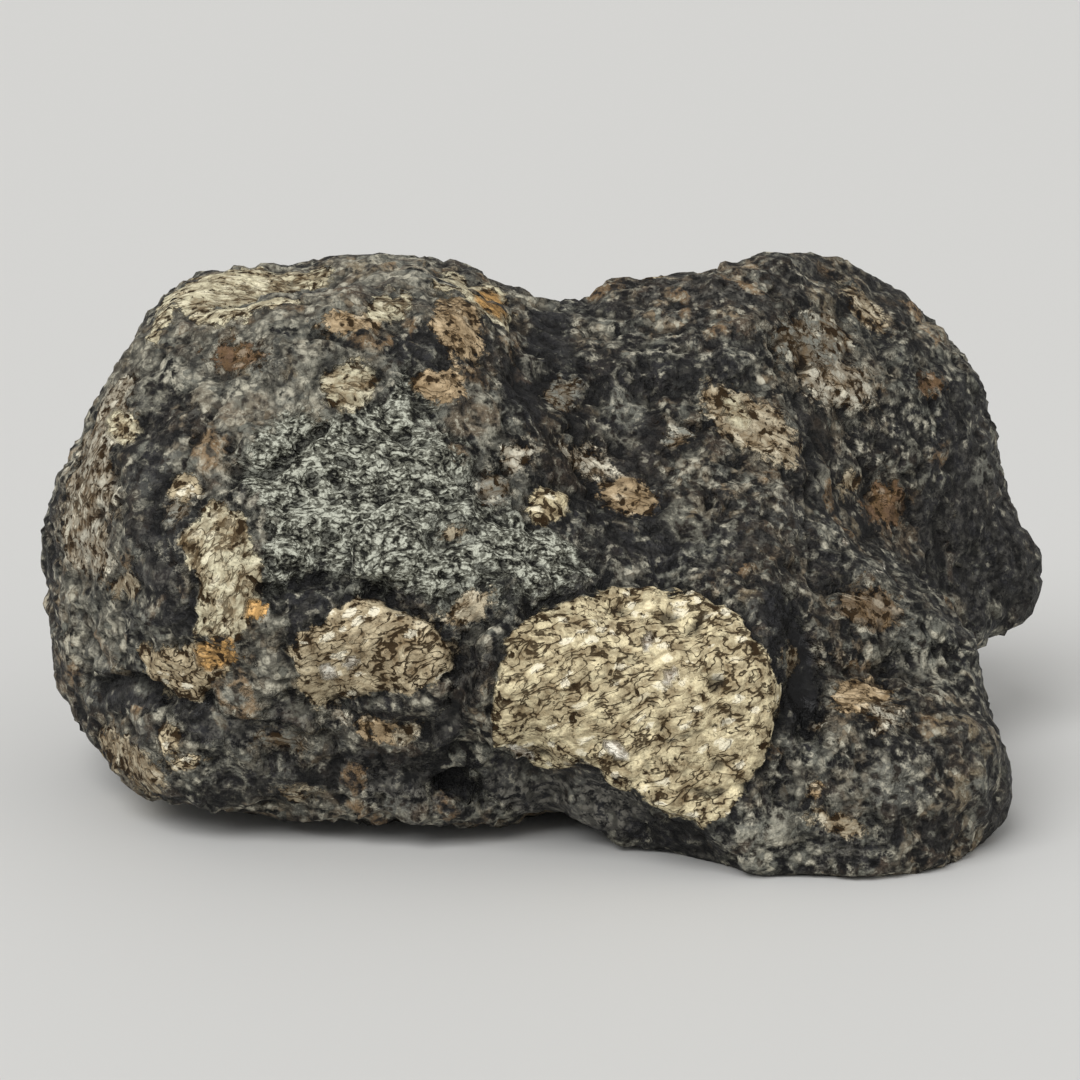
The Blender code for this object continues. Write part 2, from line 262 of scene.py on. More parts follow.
def plainField(points):  # the fused blocks with the hollows scooped out
    field = np.full(len(points), 1e3)
    for centre, faces in form["blocks"].values():
        field = smoothMin(field, blockField(points, centre, faces), form["fuse"])
    for start, end, radius in form["hollows"].values():
        field = -smoothMin(-field, distanceToRun(points, start, end) - radius, form["rim"])
    return field


def cast(directions):  # the first place along each direction where the plain field turns positive
    heart = np.array(net["heart"])
    low, high = np.zeros(len(directions)), np.full(len(directions), net["reach"])
    stillInside = np.ones(len(directions), bool)
    for step in np.linspace(0.0, net["reach"], net["cast steps"] + 1)[1:]:
        outside = plainField(heart + directions * step) > 0.0
        high[stillInside & outside] = step
        stillInside &= ~outside
        low[stillInside] = step
    for _ in range(net["halvings"]):
        middle = 0.5 * (low + high)
        outside = plainField(heart + directions * middle[:, None]) > 0.0
        high = np.where(outside, middle, high)
        low = np.where(outside, low, middle)
    return heart + directions * low[:, None]


def thumbprints():  # dents cast out in random directions that don't face the front
    facts = form["thumbprints"]
    rng = np.random.default_rng(facts["seed"])
    directions = rng.normal(size=(facts["count"] * 4, 3))
    directions /= np.linalg.norm(directions, axis=1)[:, None]
    kept = (directions[:, 1] > 0.0) & (directions[:, 2] > facts["lowest"])
    return [(place, place, rng.uniform(*facts["width"]), -rng.uniform(*facts["depth"]))
            for place in cast(directions[kept][:facts["count"]])]


def skinField(points, dents):  # the plain field with its relief, cut off flat where the stone rests
    field = plainField(points)
    for start, end, width, height in dents:
        field -= height * np.exp(-(distanceToRun(points, start, end) / width) ** 2)
    for size, height in form["lumps"]:
        field -= height * lumpiness(points, size, form["lump seed"])
    return np.maximum(field, -points[:, 2])


def settle(points, dents, rounds):  # slides each point straight in or out until it lies on the skin
    for _ in range(rounds):
        here = skinField(points, dents)
        ahead = [skinField(points + net["slope step"] * way, dents) for way in np.eye(3)]
        slope = (np.stack(ahead, axis=1) - here[:, None]) / net["slope step"]
        steepness = np.maximum((slope ** 2).sum(axis=1), net["least slope"])
        slide = np.clip(here / steepness, -net["longest slide"], net["longest slide"])
        points = points - slide[:, None] * slope
    return points


def boxNet(cells):  # the skin of a box of cells, from -1 to 1 each way, as points and square faces
    quads = []
    for axis in range(3):
        u, v = (axis + 1) % 3, (axis + 2) % 3
        i, j = np.meshgrid(np.arange(cells[u]), np.arange(cells[v]), indexing="ij")
        for side in (0, cells[axis]):
            corners = np.full((i.size, 4, 3), side)
            corners[:, :, u] = i.reshape(-1, 1) + np.array((0, 1, 1, 0))
            corners[:, :, v] = j.reshape(-1, 1) + np.array((0, 0, 1, 1))
            quads.append(corners if side else corners[:, ::-1])
    keys, index = np.unique(np.concatenate(quads).reshape(-1, 3), axis=0, return_inverse=True)
    return 2.0 * keys / np.array(cells) - 1.0, index.reshape(-1, 4)


def splitNet(points, faces):  # each face in four, with a point mid-way along each edge and face
    edges = np.sort(np.stack([faces, np.roll(faces, -1, axis=1)], axis=2).reshape(-1, 2), axis=1)
    codes, index = np.unique(edges[:, 0] * len(points) + edges[:, 1], return_inverse=True)
    pairs = np.stack([codes // len(points), codes % len(points)], axis=1)
    edge = len(points) + index.reshape(-1, 4)
    centre = len(points) + len(pairs) + np.arange(len(faces))
    quads = [np.stack([faces[:, k], edge[:, k], centre, edge[:, k - 1]], axis=1) for k in range(4)]
    more = np.concatenate([points, points[pairs].mean(axis=1), points[faces].mean(axis=1)])
    return more, np.concatenate(quads)


def edgesOf(points, faces):  # every face's edges, and how many of them start at each point
    edges = np.concatenate([faces[:, (i, (i + 1) % 4)] for i in range(4)])
    return edges, np.bincount(edges[:, 0], minlength=len(points))


def meanAround(points, edges, count):  # the mean of each point's neighbours
    total = [np.bincount(edges[:, 0], points[edges[:, 1], k], len(points)) for k in range(3)]
    return np.stack(total, axis=1) / count[:, None]


def evenOut(points, faces, dents, rounds):  # each point goes towards its neighbours' mean, and settles
    edges = edgesOf(points, faces)
    for _ in range(rounds):
        points = settle(points + net["pull"] * (meanAround(points, *edges) - points), dents, 1)
    return points


def normalsOf(points, faces):  # each face's diagonals crossed, added up at its corners
    cross = np.cross(points[faces[:, 2]] - points[faces[:, 0]], points[faces[:, 3]] - points[faces[:, 1]])
    total = np.stack([np.bincount(faces.ravel(), np.repeat(cross[:, k], 4), len(points))
                      for k in range(3)], axis=1)
    return total / np.maximum(np.linalg.norm(total, axis=1), 1e-12)[:, None]


def makeSkin():  # a box net cast onto the stone, evened out, split twice and settled
    dents = list(form["relief"].values()) + thumbprints()
    points, faces = boxNet(net["cells"])
    directions = np.tan(points * np.pi / 4.0) * net["spread"]
    directions /= np.linalg.norm(directions, axis=1)[:, None]
    points = evenOut(cast(directions), faces, dents, net["rounds"])
    for _ in range(2):
        points, faces = splitNet(points, faces)
        points = evenOut(points, faces, dents, net["fine rounds"])
    points = settle(points, dents, 1)
    points[:, 2] = np.maximum(points[:, 2], 0.0)
    return points, faces


# What a clast is made of: its tint, how much it is made of laths, how far it stands out, the depth
# of the moat round it, and how crisp its edge is
kindFacts = ("tint", "laths", "lift", "moat", "crisp")
kinds = {
    "cream": ((0.76, 0.665, 0.43), 0.9, 0.10, 0.30, 1.0),
    "buff": ((0.60, 0.51, 0.34), 1.0, 0.15, 0.30, 0.9),
    "yellow": ((0.66, 0.61, 0.43), 0.3, 0.05, 0.12, 0.85),
    "tan": ((0.46, 0.40, 0.285), 0.35, 0.05, 0.08, 0.60),
    "ochre": ((0.48, 0.365, 0.225), 0.3, 0.10, 0.10, 0.80),
    "amber": ((0.78, 0.46, 0.17), 0.1, 0.0, 0.0, 0.55),
    "rust": ((0.17, 0.105, 0.062), 0.2, 0.05, 0.06, 0.45),
    "brown": ((0.21, 0.165, 0.115), 0.2, 0.05, 0.06, 0.4),
    "grey": ((0.24, 0.24, 0.205), 0.5, 0.05, 0.10, 0.5),
    "pale": ((0.50, 0.47, 0.38), 0.5, 0.08, 0.10, 0.5),
    "white": ((1.0, 0.96, 0.83), 0.0, 0.08, 0.0, 1.0),
}

# Clasts with an outline of their own on the front: kind, turn of the laths, and corners in
# millimetres right of and above the aim point, as seen from the camera's place
outlines = {
    "third": ("yellow", 60, (
        (-25.2, -0.3), (-24.8, 1.1), (-23.1, 2.4), (-20.6, 2.3), (-20.4, -0.3), (-19.7, -2.3),
        (-19.7, -4.9), (-21.4, -6.8), (-24.5, -6.5), (-24.8, -3.2))),
    "below the third": ("buff", 20, (
        (-28.7, -7.8), (-26.6, -7.3), (-23.8, -7.5), (-21.4, -7.8), (-21.8, -9.5), (-24.8, -11.8),
        (-27.0, -11.1), (-28.3, -9.5))),
    "top left": ("yellow", -20, (
        (-26.9, 17.9), (-24.1, 19.1), (-17.9, 19.4), (-14.9, 19.7), (-14.9, 17.7), (-17.9, 17.0),
        (-21.4, 15.2), (-23.8, 15.6), (-25.9, 16.7), (-27.1, 13.8), (-27.9, 14.2))),
    "left edge": ("pale", 70, (
        (-28.7, 12.3), (-29.8, 11.9), (-32.3, 8.2), (-33.6, 5.3), (-34.3, 1.4), (-34.0, -1.4),
        (-31.6, -3.5), (-30.0, -1.4), (-30.5, 1.4), (-29.6, 3.5), (-30.4, 5.7), (-28.9, 8.2))),
    "peak": ("yellow", -32, (
        (-7.6, 18.6), (-6.0, 19.0), (-4.3, 18.2), (-2.5, 17.1), (-1.4, 15.7), (-2.4, 15.0), (-3.9, 15.6),
        (-5.5, 16.9), (-7.2, 17.8))),
    "second": ("buff", 24, (
        (-17.9, -7.8), (-17.4, -6.5), (-15.5, -5.5), (-13.0, -3.9), (-11.1, -3.9), (-10.0, -4.8),
        (-7.0, -6.2), (-6.1, -7.8), (-6.2, -9.1), (-7.9, -10.6), (-11.1, -10.7), (-13.5, -11.6),
        (-16.0, -11.8), (-17.4, -10.6))),
    "big": ("cream", 24, (
        (-2.7, -6.8), (-2.9, -9.1), (-3.1, -12.2), (-3.3, -14.5), (-1.5, -15.3), (0.4, -16.8),
        (2.8, -16.2), (4.3, -16.8), (6.5, -18.2), (8.0, -18.9), (9.6, -19.9), (11.3, -20.7),
        (12.6, -19.6), (14.7, -18.0), (16.0, -16.0), (16.7, -13.0), (16.8, -10.6), (16.5, -8.3),
        (15.7, -6.8), (14.2, -5.1), (11.9, -3.9), (9.6, -3.1), (6.5, -3.0), (4.3, -3.5),
        (1.6, -4.3), (-1.2, -5.4))),
}

# Smaller clasts on the front, ovals: kind, right, up, half the length, half the width and the turn
ovals = {
    "bottom left edge": ("tan", -29.0, -15.6, 3.2, 1.1, -42),
    "patch on the left": ("buff", -25.2, 3.5, 1.2, 1.1, 0),
    "patch under it": ("grey", -25.8, 2.0, 1.0, 0.9, 0),
    "cream spot on the edge": ("yellow", -29.5, 7.9, 0.9, 1.2, 0),
    "rust on the left": ("rust", -21.3, 13.1, 2.2, 1.0, -8),
    "round": ("yellow", -13.5, 11.0, 2.0, 1.9, 0),
    "ochre at the top": ("ochre", -13.4, 15.4, 2.4, 0.8, 8),
    "cream at the top": ("yellow", -10.6, 16.6, 1.6, 0.9, 15),
    "ochre on the face": ("ochre", -7.3, 10.9, 2.1, 1.3, -8),
    "below the peak": ("ochre", -5.8, 15.1, 2.7, 1.6, -66),
    "peak stain": ("amber", -3.4, 16.7, 1.4, 0.6, -36),
    "ringed": ("cream", 0.5, 2.4, 1.5, 1.4, 0),
    "beside the ringed": ("ochre", 6.1, 3.2, 2.1, 1.2, -20),
    "laths over it": ("pale", 3.6, 5.6, 2.4, 1.0, -24),
    "grey round": ("grey", -3.3, 3.7, 1.4, 1.3, 0),
    "small grey": ("pale", -1.7, 5.9, 1.2, 0.9, 20),
    "green grey": ("grey", 1.6, 10.3, 1.3, 1.2, 0),
    "grey by the lump": ("grey", 9.7, 7.4, 1.1, 0.9, 0),
    "cream between": ("tan", -5.0, -4.8, 2.0, 1.1, 25),
    "under the crust": ("tan", -6.2, 0.6, 0.9, 0.6, 0),
    "long on the lump": ("tan", 14.8, 8.2, 4.2, 1.7, -38),
    "cream in the long one": ("yellow", 14.0, 9.0, 1.3, 0.8, -50),
    "pale on the lump": ("pale", 21.0, 11.3, 2.7, 2.0, -25),
    "over the pale one": ("grey", 19.4, 14.2, 3.0, 2.0, 0),
    "edge of the lump": ("tan", 23.0, 16.7, 2.3, 0.7, -48),
    "speck high on the lump": ("rust", 27.5, 11.1, 0.9, 0.8, 0),
    "rim of the rust": ("tan", 22.0, 4.0, 1.0, 0.7, 60),
    "rust on the lump": ("rust", 24.5, 2.6, 1.5, 1.6, 0),
    "brown on the shoulder": ("brown", 23.5, -4.8, 2.3, 1.4, -10),
    "ochre on the foot": ("ochre", 22.8, -11.0, 2.2, 1.3, 0),
    "pale on the foot": ("pale", 24.6, -12.6, 1.3, 1.1, 0),
    "low on the foot": ("tan", 21.1, -20.1, 2.0, 0.9, -18),
    "ochre speck": ("ochre", 19.6, -17.7, 0.6, 0.8, 0),
    "tan by the channel": ("tan", 17.7, -8.6, 0.6, 0.9, 0),
    "speck in the channel": ("pale", 19.6, -13.3, 0.5, 0.4, 0),
    "spot under the third": ("amber", -22.9, -8.2, 1.9, 1.05, 12),
    "spot beside the third": ("amber", -20.2, -5.0, 0.8, 0.9, 60),
    "brown below the second": ("ochre", -11.4, -13.3, 1.6, 0.8, -8),
    "brown beside it": ("tan", -9.4, -13.7, 0.9, 0.6, 0),
    "small below the second": ("pale", -14.2, -12.6, 0.8, 0.5, 0),
    "layered": ("buff", -26.3, -13.9, 0.9, 1.2, 0),
    "layered, lower": ("buff", -25.5, -15.9, 1.6, 0.5, 8),
    "low tan": ("tan", -17.3, -17.8, 1.3, 0.6, -8),
    "low grey": ("grey", -18.3, -14.3, 2.0, 0.8, -8),
    "left edge, low": ("tan", -29.5, -3.3, 0.9, 1.0, 0),
    "white speck": ("white", 21.3, -0.4, 0.28, 0.28, 0),
    "white speck on the edge": ("white", 24.0, -2.3, 0.35, 0.3, 0),
    "white lath": ("white", -1.3, -15.0, 1.1, 0.36, -35),
    "white lath, right": ("white", 5.4, -14.8, 0.9, 0.5, -30),
    "white lath, middle": ("white", 9.2, -9.6, 0.9, 0.35, 60),
    "white lath, high": ("white", 7.6, -7.2, 0.6, 0.35, 70),
    "white in the second": ("white", -15.2, -9.2, 0.7, 0.55, -40),
    "white beside it": ("white", -13.4, -8.6, 0.55, 0.45, 40),
}


def seenFromFront(points):  # millimetres right of and above the aim point, in the front view's plane
    lift = np.radians(sight["elevation"])
    offset = points - np.array(sight["aim"])
    up = offset[:, 2] * np.cos(lift) + offset[:, 1] * np.sin(lift)
    depth = sight["distance"] + offset[:, 1] * np.cos(lift) - offset[:, 2] * np.sin(lift)
    return np.stack([offset[:, 0], up], axis=1) * (sight["distance"] / depth)[:, None]


def insideOutline(place, corners):  # how far inside: distance to the nearest edge, odd crossings inside
    corners = np.array(corners)
    reach, odd = np.full(len(place), 1e3), np.zeros(len(place), bool)
    for start, end in zip(corners, np.roll(corners, -1, axis=0)):
        reach = np.minimum(reach, distanceToRun(place, start, end))
        rise = end[1] - start[1]
        crossed = (start[1] > place[:, 1]) != (end[1] > place[:, 1])
        at = start[0] + (place[:, 1] - start[1]) * (end[0] - start[0]) / (rise if rise else 1.0)
        odd ^= crossed & (place[:, 0] < at)
    return np.where(odd, reach, -reach)


def insideOval(place, right, up, halfLong, halfShort, turn):  # how far inside a turned oval
    along = np.array((np.cos(np.radians(turn)), np.sin(np.radians(turn))))
    offset = place - np.array((right, up))
    length, width = offset @ along, offset @ np.array((-along[1], along[0]))
    return (1.0 - np.hypot(length / halfLong, width / halfShort)) * min(halfLong, halfShort)


def turnedY(points, turn):  # the points turned about the Y axis, so that laths at that turn lie along X
    c, s = np.cos(np.radians(turn)), np.sin(np.radians(turn))
    return np.stack([points[:, 0] * c + points[:, 2] * s, points[:, 1],
                     points[:, 2] * c - points[:, 0] * s], axis=1)


# Clasts scattered over the sides that the front view doesn't show, and how clasts differ
scatter = {
    "count": 150,
    "seed": 23,
    "size": (0.8, 4.2),  # half the length
    "mostly small": 2.5,  # the higher, the fewer large ones
    "flatness": (0.5, 0.9),  # the width and height as shares of the length
    "unevenness": 0.3,
    "out of sight": 0.1,  # the most that the front view may show of the place
    "kept off": 4.0,  # what the front counts as outside of these clasts
    "tint range": (0.88, 1.12),
    "lath range": 50.0,  # how far apart the places in the lath pattern may be that clasts are cut from
    "oval unevenness": 0.5,  # how much of the edges' unevenness the ovals have
    "kinds": ("cream", "buff", "yellow", "tan", "tan", "ochre", "rust", "brown", "grey", "grey", "pale"),
}

# Smooth glassy melt on the front: right, up, half the length, half the width, turn
glassy = {
    "under the strip": (-27.2, -2.4, 1.6, 1.4, 0),
    "hollow at the lower left": (-29.1, -10.9, 2.6, 1.2, -8),
    "low on the left": (-21.4, -13.4, 4.4, 1.6, -12),
    "under the second clast": (-17.5, -12.2, 3.0, 0.8, -20),
    "seam left of the big clast": (-5.6, -11.4, 4.2, 1.0, 62),
    "channel": (18.4, -9.5, 5.0, 1.5, -78),
    "under the lip": (1.0, -18.0, 6.6, 2.2, -16),
    "left of the pit": (-9.5, -17.0, 3.6, 1.2, -4),
}

# The wrinkled grey crust in the middle of the left block's face
crustOutline = (
    (-21.4, 7.9), (-17.1, 9.4), (-14.2, 9.1), (-9.9, 11.5), (-7.9, 9.4), (-5.5, 7.4), (-4.3, 5.0),
    (-1.3, 2.1), (2.5, -0.4), (4.3, -2.5), (1.4, -3.7), (-2.8, -3.5), (-7.1, -5.1), (-9.9, -3.7),
    (-14.9, -2.3), (-19.7, -3.0), (-19.3, 1.4), (-20.9, 4.3))

# Narrow grooves and ridges on the front: half the width, the height, and the places along it
lines = {
    "over the second clast": (0.45, -0.55, ((-19.9, -3.6), (-17.4, -3.2), (-14.9, -2.6), (-12.0, -3.2),
                                            (-9.9, -4.3), (-7.1, -6.0), (-5.8, -8.2))),
    "fork of that groove": (0.40, -0.45, ((-7.1, -6.0), (-5.0, -6.6), (-2.6, -5.2))),
    "left of the second clast": (0.45, -0.35, ((-18.6, -5.0), (-18.5, -8.0), (-17.9, -10.9))),
    "top edge of the big clast": (0.40, -0.45, ((-1.2, -4.9), (1.6, -3.9), (4.3, -3.0), (6.5, -2.4),
                                                (9.6, -2.5), (12.2, -3.4), (14.6, -4.6))),
    "terrace in the big clast": (0.30, -0.30, ((5.2, -16.3), (7.6, -15.0), (10.5, -13.9), (13.4, -13.0))),
    "lower terrace": (0.30, -0.28, ((5.8, -17.2), (9.3, -17.6), (12.0, -18.1), (14.4, -17.4))),
    "short terrace": (0.28, -0.25, ((2.0, -10.6), (4.4, -9.6), (6.4, -10.4), (8.6, -12.0))),
    "glossy ridge": (0.55, 0.55, ((-3.6, -8.6), (-4.3, -11.0), (-6.0, -13.4), (-8.2, -14.8))),
    "beside the glossy ridge": (0.40, -0.25, ((-3.3, -8.9), (-3.6, -12.0), (-4.6, -14.2))),
    "arc at the lower left": (0.30, 0.45, ((-31.2, -6.8), (-30.6, -5.6), (-29.1, -5.0), (-27.1, -5.8))),
    "second arc": (0.30, 0.40, ((-32.0, -7.5), (-31.0, -9.4), (-29.4, -9.0), (-27.2, -9.8))),
    "under the arcs": (0.6, -0.65, ((-31.0, -10.2), (-28.6, -9.9), (-26.6, -11.4))),
    "swirl in the glass": (0.35, 0.35, ((-24.6, -12.6), (-21.8, -12.2), (-18.8, -12.6), (-16.0, -13.2))),
    "fold in the crust": (0.50, -0.85, ((-21.7, 5.2), (-19.6, 4.9), (-17.9, 5.9), (-15.4, 8.2))),
    "ridge over the fold": (0.90, 0.45, ((-20.4, 6.5), (-18.0, 7.5), (-15.8, 9.0))),
    "right of the third clast": (0.40, -0.45, ((-19.2, 1.0), (-19.0, -1.8), (-18.4, -4.2))),
    "ridge over the pit": (0.25, 0.30, ((-8.3, -17.1), (-6.4, -16.5), (-4.3, -15.9), (-3.2, -14.6))),
    "pit under the lip": (0.75, -1.6, ((-7.3, -17.5), (-5.2, -17.1))),
    "crack beside the peak": (0.35, -0.40, ((-6.9, 17.6), (-5.0, 15.5), (-2.6, 13.4))),
    "over the foot": (0.45, -0.45, ((19.8, -9.4), (22.4, -9.2), (25.0, -9.4), (28.0, -10.3))),
    "ridge on the shoulder": (0.35, 0.25, ((15.2, -3.3), (17.2, -1.2), (20.6, -1.0), (24.0, -3.2),
                                           (26.6, -6.2))),
    "fold low on the foot": (0.30, 0.18, ((20.4, -19.0), (23.4, -16.6), (26.6, -16.2), (29.4, -18.6))),
    "underside streak": (0.25, 0.14, ((-13.6, -18.9), (-8.4, -19.4), (-2.0, -19.3), (2.4, -18.6))),
    "second streak": (0.25, -0.12, ((-14.0, -18.2), (-9.8, -18.4), (-7.6, -18.3))),
}

# The lip under the big clast, where the face ends and the dark underside is set back
lip = {
    "places": ((-3.7, -14.3), (-1.5, -15.3), (0.4, -16.8), (1.6, -16.5), (2.8, -16.2), (4.3, -16.8),
               (6.5, -18.2), (8.0, -18.9), (9.6, -20.0), (11.3, -20.9)),
    "setback": 0.6,
    "edge": 0.5,  # how wide the step is
    "reach": (1.0, 3.2),  # how far below the lip the underside comes out again
    "left end": (-4.2, -2.6),
    "right end": (9.0, 11.3),
}

# The melt on the front: right, up, half the length, half the width, turn, and there how crowded with
# grains it is, how brown, and how dusty
patches = {
    "left top face": (-20.0, 11.4, 6.0, 4.0, -20, 1.08, 0.50, 0.7),
    "left edge": (-31.5, -1.0, 2.4, 9.0, 0, 0.98, 0.35, 0.5),
    "along the top": (-15.0, 17.4, 11.0, 2.6, 4, 1.22, 0.55, 0.6),
    "high on the left": (-22.5, 14.8, 3.5, 2.2, -15, 1.20, 0.45, 0.5),
    "left edge, high": (-29.2, 11.0, 3.2, 1.5, 60, 1.20, 0.35, 0.5),
    "beside the round clast": (-14.5, 11.5, 4.0, 1.8, 0, 1.05, 0.45, 0.5),
    "beside the crust": (-3.4, 2.2, 3.0, 3.4, 0, 0.95, 0.25, 0.5),
    "left of the second clast": (-19.4, -6.6, 1.5, 2.0, 0, 0.85, 0.40, 0.5),
    "below the second clast": (-11.5, -13.8, 2.8, 1.3, -8, 0.85, 0.55, 0.7),
    "right of the crust": (-4.6, 7.6, 3.4, 4.6, 0, 0.72, 0.40, 0.3),
    "round the third clast": (-24.6, 4.2, 3.0, 3.6, 0, 0.76, 0.40, 0.4),
    "under the third clast": (-22.0, -9.6, 5.0, 2.6, -10, 1.05, 0.45, 0.5),
    "lower left corner": (-27.5, -14.6, 4.0, 3.0, -40, 0.90, 0.45, 0.5),
    "charcoal strip": (-27.2, 4.0, 4.6, 1.5, 88, 0.30, 0.35, 0.30),
    "under the strip": (-28.0, -3.0, 2.4, 2.6, 0, 0.56, 0.25, 0.5),
    "dark right of the peak": (0.2, 12.4, 2.6, 4.6, -20, 0.12, 0.10, 0.1),
    "valley": (4.8, 10.6, 4.0, 4.6, 0, 0.36, 0.35, 0.15),
    "low in the valley": (6.6, 0.8, 7.0, 2.6, -12, 0.26, 0.20, 0.15),
    "grey ridge in the valley": (12.6, -0.2, 3.4, 0.9, 40, 0.50, 0.10, 0.4),
    "lump top": (13.6, 16.4, 8.0, 3.0, 5, 0.36, 0.90, 0.6),
    "lump face": (20.4, 11.4, 6.0, 3.8, -20, 0.66, 0.60, 0.4),
    "lump, low": (25.0, 3.6, 6.0, 4.6, 0, 0.36, 0.55, 0.25),
    "lump, right": (30.0, 3.0, 3.0, 8.0, 0, 0.16, 0.15, 0.35),
    "right plane": (32.6, -1.6, 2.6, 4.6, 0, 0.08, 0.0, 0.30),
    "shoulder": (20.4, -4.2, 6.0, 2.4, -16, 0.46, 0.65, 0.2),
    "channel": (18.2, -9.4, 5.6, 1.9, -78, 0.12, 0.0, 0.05),
    "foot": (25.6, -14.4, 5.0, 4.6, 0, 0.53, 0.50, 0.4),
    "foot, low": (18.6, -21.6, 8.0, 1.6, 0, 0.50, 0.30, 0.8),
    "low on the left": (-18.0, -14.2, 6.0, 3.0, -6, 0.60, 0.40, 0.9),
    "low band": (-12.0, -18.6, 8.0, 1.6, 0, 0.56, 0.40, 1.0),
    "hollow at the lower left": (-29.2, -10.6, 2.8, 1.4, -8, 0.12, 0.20, 0.15),
    "seam": (-5.8, -11.6, 4.4, 1.5, 62, 0.26, 0.30, 0.4),
    "under the lip": (2.0, -18.6, 6.0, 1.6, -14, 0.36, 0.30, 1.3),
    # painted shade: the pit's inside is bare black melt, with no grains, brown or dust
    "pit": (-6.2, -17.3, 1.7, 0.75, 8, 0.0, 0.0, 0.0),
}

patchBlend = (-0.25, 0.35)  # how far inside a patch starts and is full, as a share of its half width
mostCrowd = 1.3

# Chips in the melt, as cells of a given size: the share that is pale when the melt is crowded, how
# far they stand out, and the colours that they take
chips = {
    "layers": {"large": (3.3, 0.42, 0.22, 101), "small": (1.7, 0.60, 0.13, 102)},  # size, share, lift, seed
    "cool": ((0.12, 0.12, 0.105), (0.20, 0.20, 0.17), (0.075, 0.076, 0.07), (0.16, 0.155, 0.125),
             (0.27, 0.26, 0.21), (0.05, 0.05, 0.048)),
    "warm": ((0.15, 0.115, 0.078), (0.23, 0.185, 0.12), (0.085, 0.062, 0.045), (0.20, 0.175, 0.13),
             (0.26, 0.17, 0.09), (0.06, 0.048, 0.038)),
    "gap": 0.066,  # how much of the melt shows round each, as a share of its size
    "least crowd": 0.15,
    "slope": 0.30,  # how wide a chip's rounded edge is, as a share of its size
    "low": 0.5,  # how high a cell without a chip stands beside one with a chip
}

# Fine relief all over
skinFacts = {
    "crag": ((3.6, 0.40, 61), (1.9, 0.24, 62), (1.0, 0.12, 63)),  # size, height and seed of the folds
    "cracks": ((5.2, 0.34, 0.11, 71), (3.0, 0.22, 0.13, 72)),  # size, depth, width and seed
    "fold level": 0.4,  # the part of a fold that lies level with the skin
    "on glass": (-0.3, 0.5),  # how far inside its edge the glassy melt starts and is full
    "calm on glass": 0.8,  # how much lower the relief is there
    "bare on glass": 0.6,  # how much less crowded with grains
    "on a clast": (-0.1, 0.4),
    "calm on clasts": 0.45,
    "closed on clasts": 0.6,  # how much shallower the cracks are
    "clast slope": 0.8,  # how wide the rounded edge of a clast is
    "moat": (0.15, 0.38),  # how far outside the edge it is deepest, and its width
    "wrinkle": (1.3, 60),  # size and seed of the crust's wrinkles
    "wrinkle flow": (-20.0, 0.55),  # their turn, and how much they are drawn out along it
    "wrinkle height": 0.30,
    "on the crust": (-0.5, 0.6),
    "pits": {"count": 230, "seed": 31, "width": (0.35, 0.95), "depth": (0.12, 0.50)},
    "above ground": 0.8,  # the height where the relief is whole
}

# What the front view shows, and how the hollow places and the underside that get painted shade are found
surface = {
    "in sight": (0.05, 0.22),  # how squarely a place faces the camera when it starts to count
    "out of sight": 6.0,  # what the others count as outside of every shape on the front
    "glass kept off": 3.0,  # the same for the glassy melt at the back, on the front
    "crease rounds": 10,
    "hollow rounds": 90,
    "underside": 1.6,  # what the underside counts as hollow
    "facing down": -0.7,
    "low": (3.5, 0.5),  # the height where the underside starts to count, and where it does so fully
}


def distanceToLine(place, corners):  # the distance to the nearest stretch of a line of places
    return np.min([distanceToRun(place, a, b) for a, b in zip(corners[:-1], corners[1:])], axis=0)


def layClasts(points, place, shown):
    # For every point: how far inside its nearest clast it is, and what that clast is made of.
    # A later clast lies over an earlier one.
    count = len(points)
    facts = {"edge": np.full(count, -9.0), "tint": np.zeros((count, 3)), "laths": np.zeros(count),
             "lift": np.zeros(count), "moat": np.zeros(count), "place": points.copy()}
    wander = unevenness(points, "clast edge")
    rng = np.random.default_rng(scatter["seed"])

    def lay(depth, kind, turned):
        shade = dict(zip(kindFacts, kinds[kind]))
        depth = depth * shade["crisp"]
        over = depth > np.minimum(facts["edge"], 0.0)
        facts["edge"] = np.maximum(facts["edge"], depth)
        varied = np.array(shade["tint"]) * rng.uniform(*scatter["tint range"])
        facts["tint"] = np.where(over[:, None], varied, facts["tint"])
        for name in ("laths", "lift", "moat"):
            facts[name] = np.where(over, shade[name], facts[name])
        elsewhere = turned + rng.uniform(0.0, scatter["lath range"])
        facts["place"] = np.where(over[:, None], elsewhere, facts["place"])

    hidden = np.flatnonzero(shown < scatter["out of sight"])
    least, most = scatter["size"]
    for centre in points[rng.choice(hidden, scatter["count"], replace=False)]:
        half = least + (most - least) * rng.random() ** scatter["mostly small"]
        axes, _ = np.linalg.qr(rng.normal(size=(3, 3)))
        radii = half * np.array((1.0, rng.uniform(*scatter["flatness"]), rng.uniform(*scatter["flatness"])))
        turned = (points - centre) @ axes
        depth = (1.0 - np.linalg.norm(turned / radii, axis=1)) * radii.min()
        depth = depth + scatter["unevenness"] * wander * half - scatter["kept off"] * shown
        lay(depth, rng.choice(scatter["kinds"]), turned)
    away = surface["out of sight"] * (1.0 - shown)
    for kind, turn, corners in outlines.values():
        lay(insideOutline(place, corners) + wander - away, kind, turnedY(points, turn))
    for kind, right, up, halfLong, halfShort, turn in ovals.values():
        rough = scatter["oval unevenness"] * wander * min(1.0, halfShort)
        depth = insideOval(place, right, up, halfLong, halfShort, turn) + rough - away
        lay(depth, kind, turnedY(points, turn))
    return facts


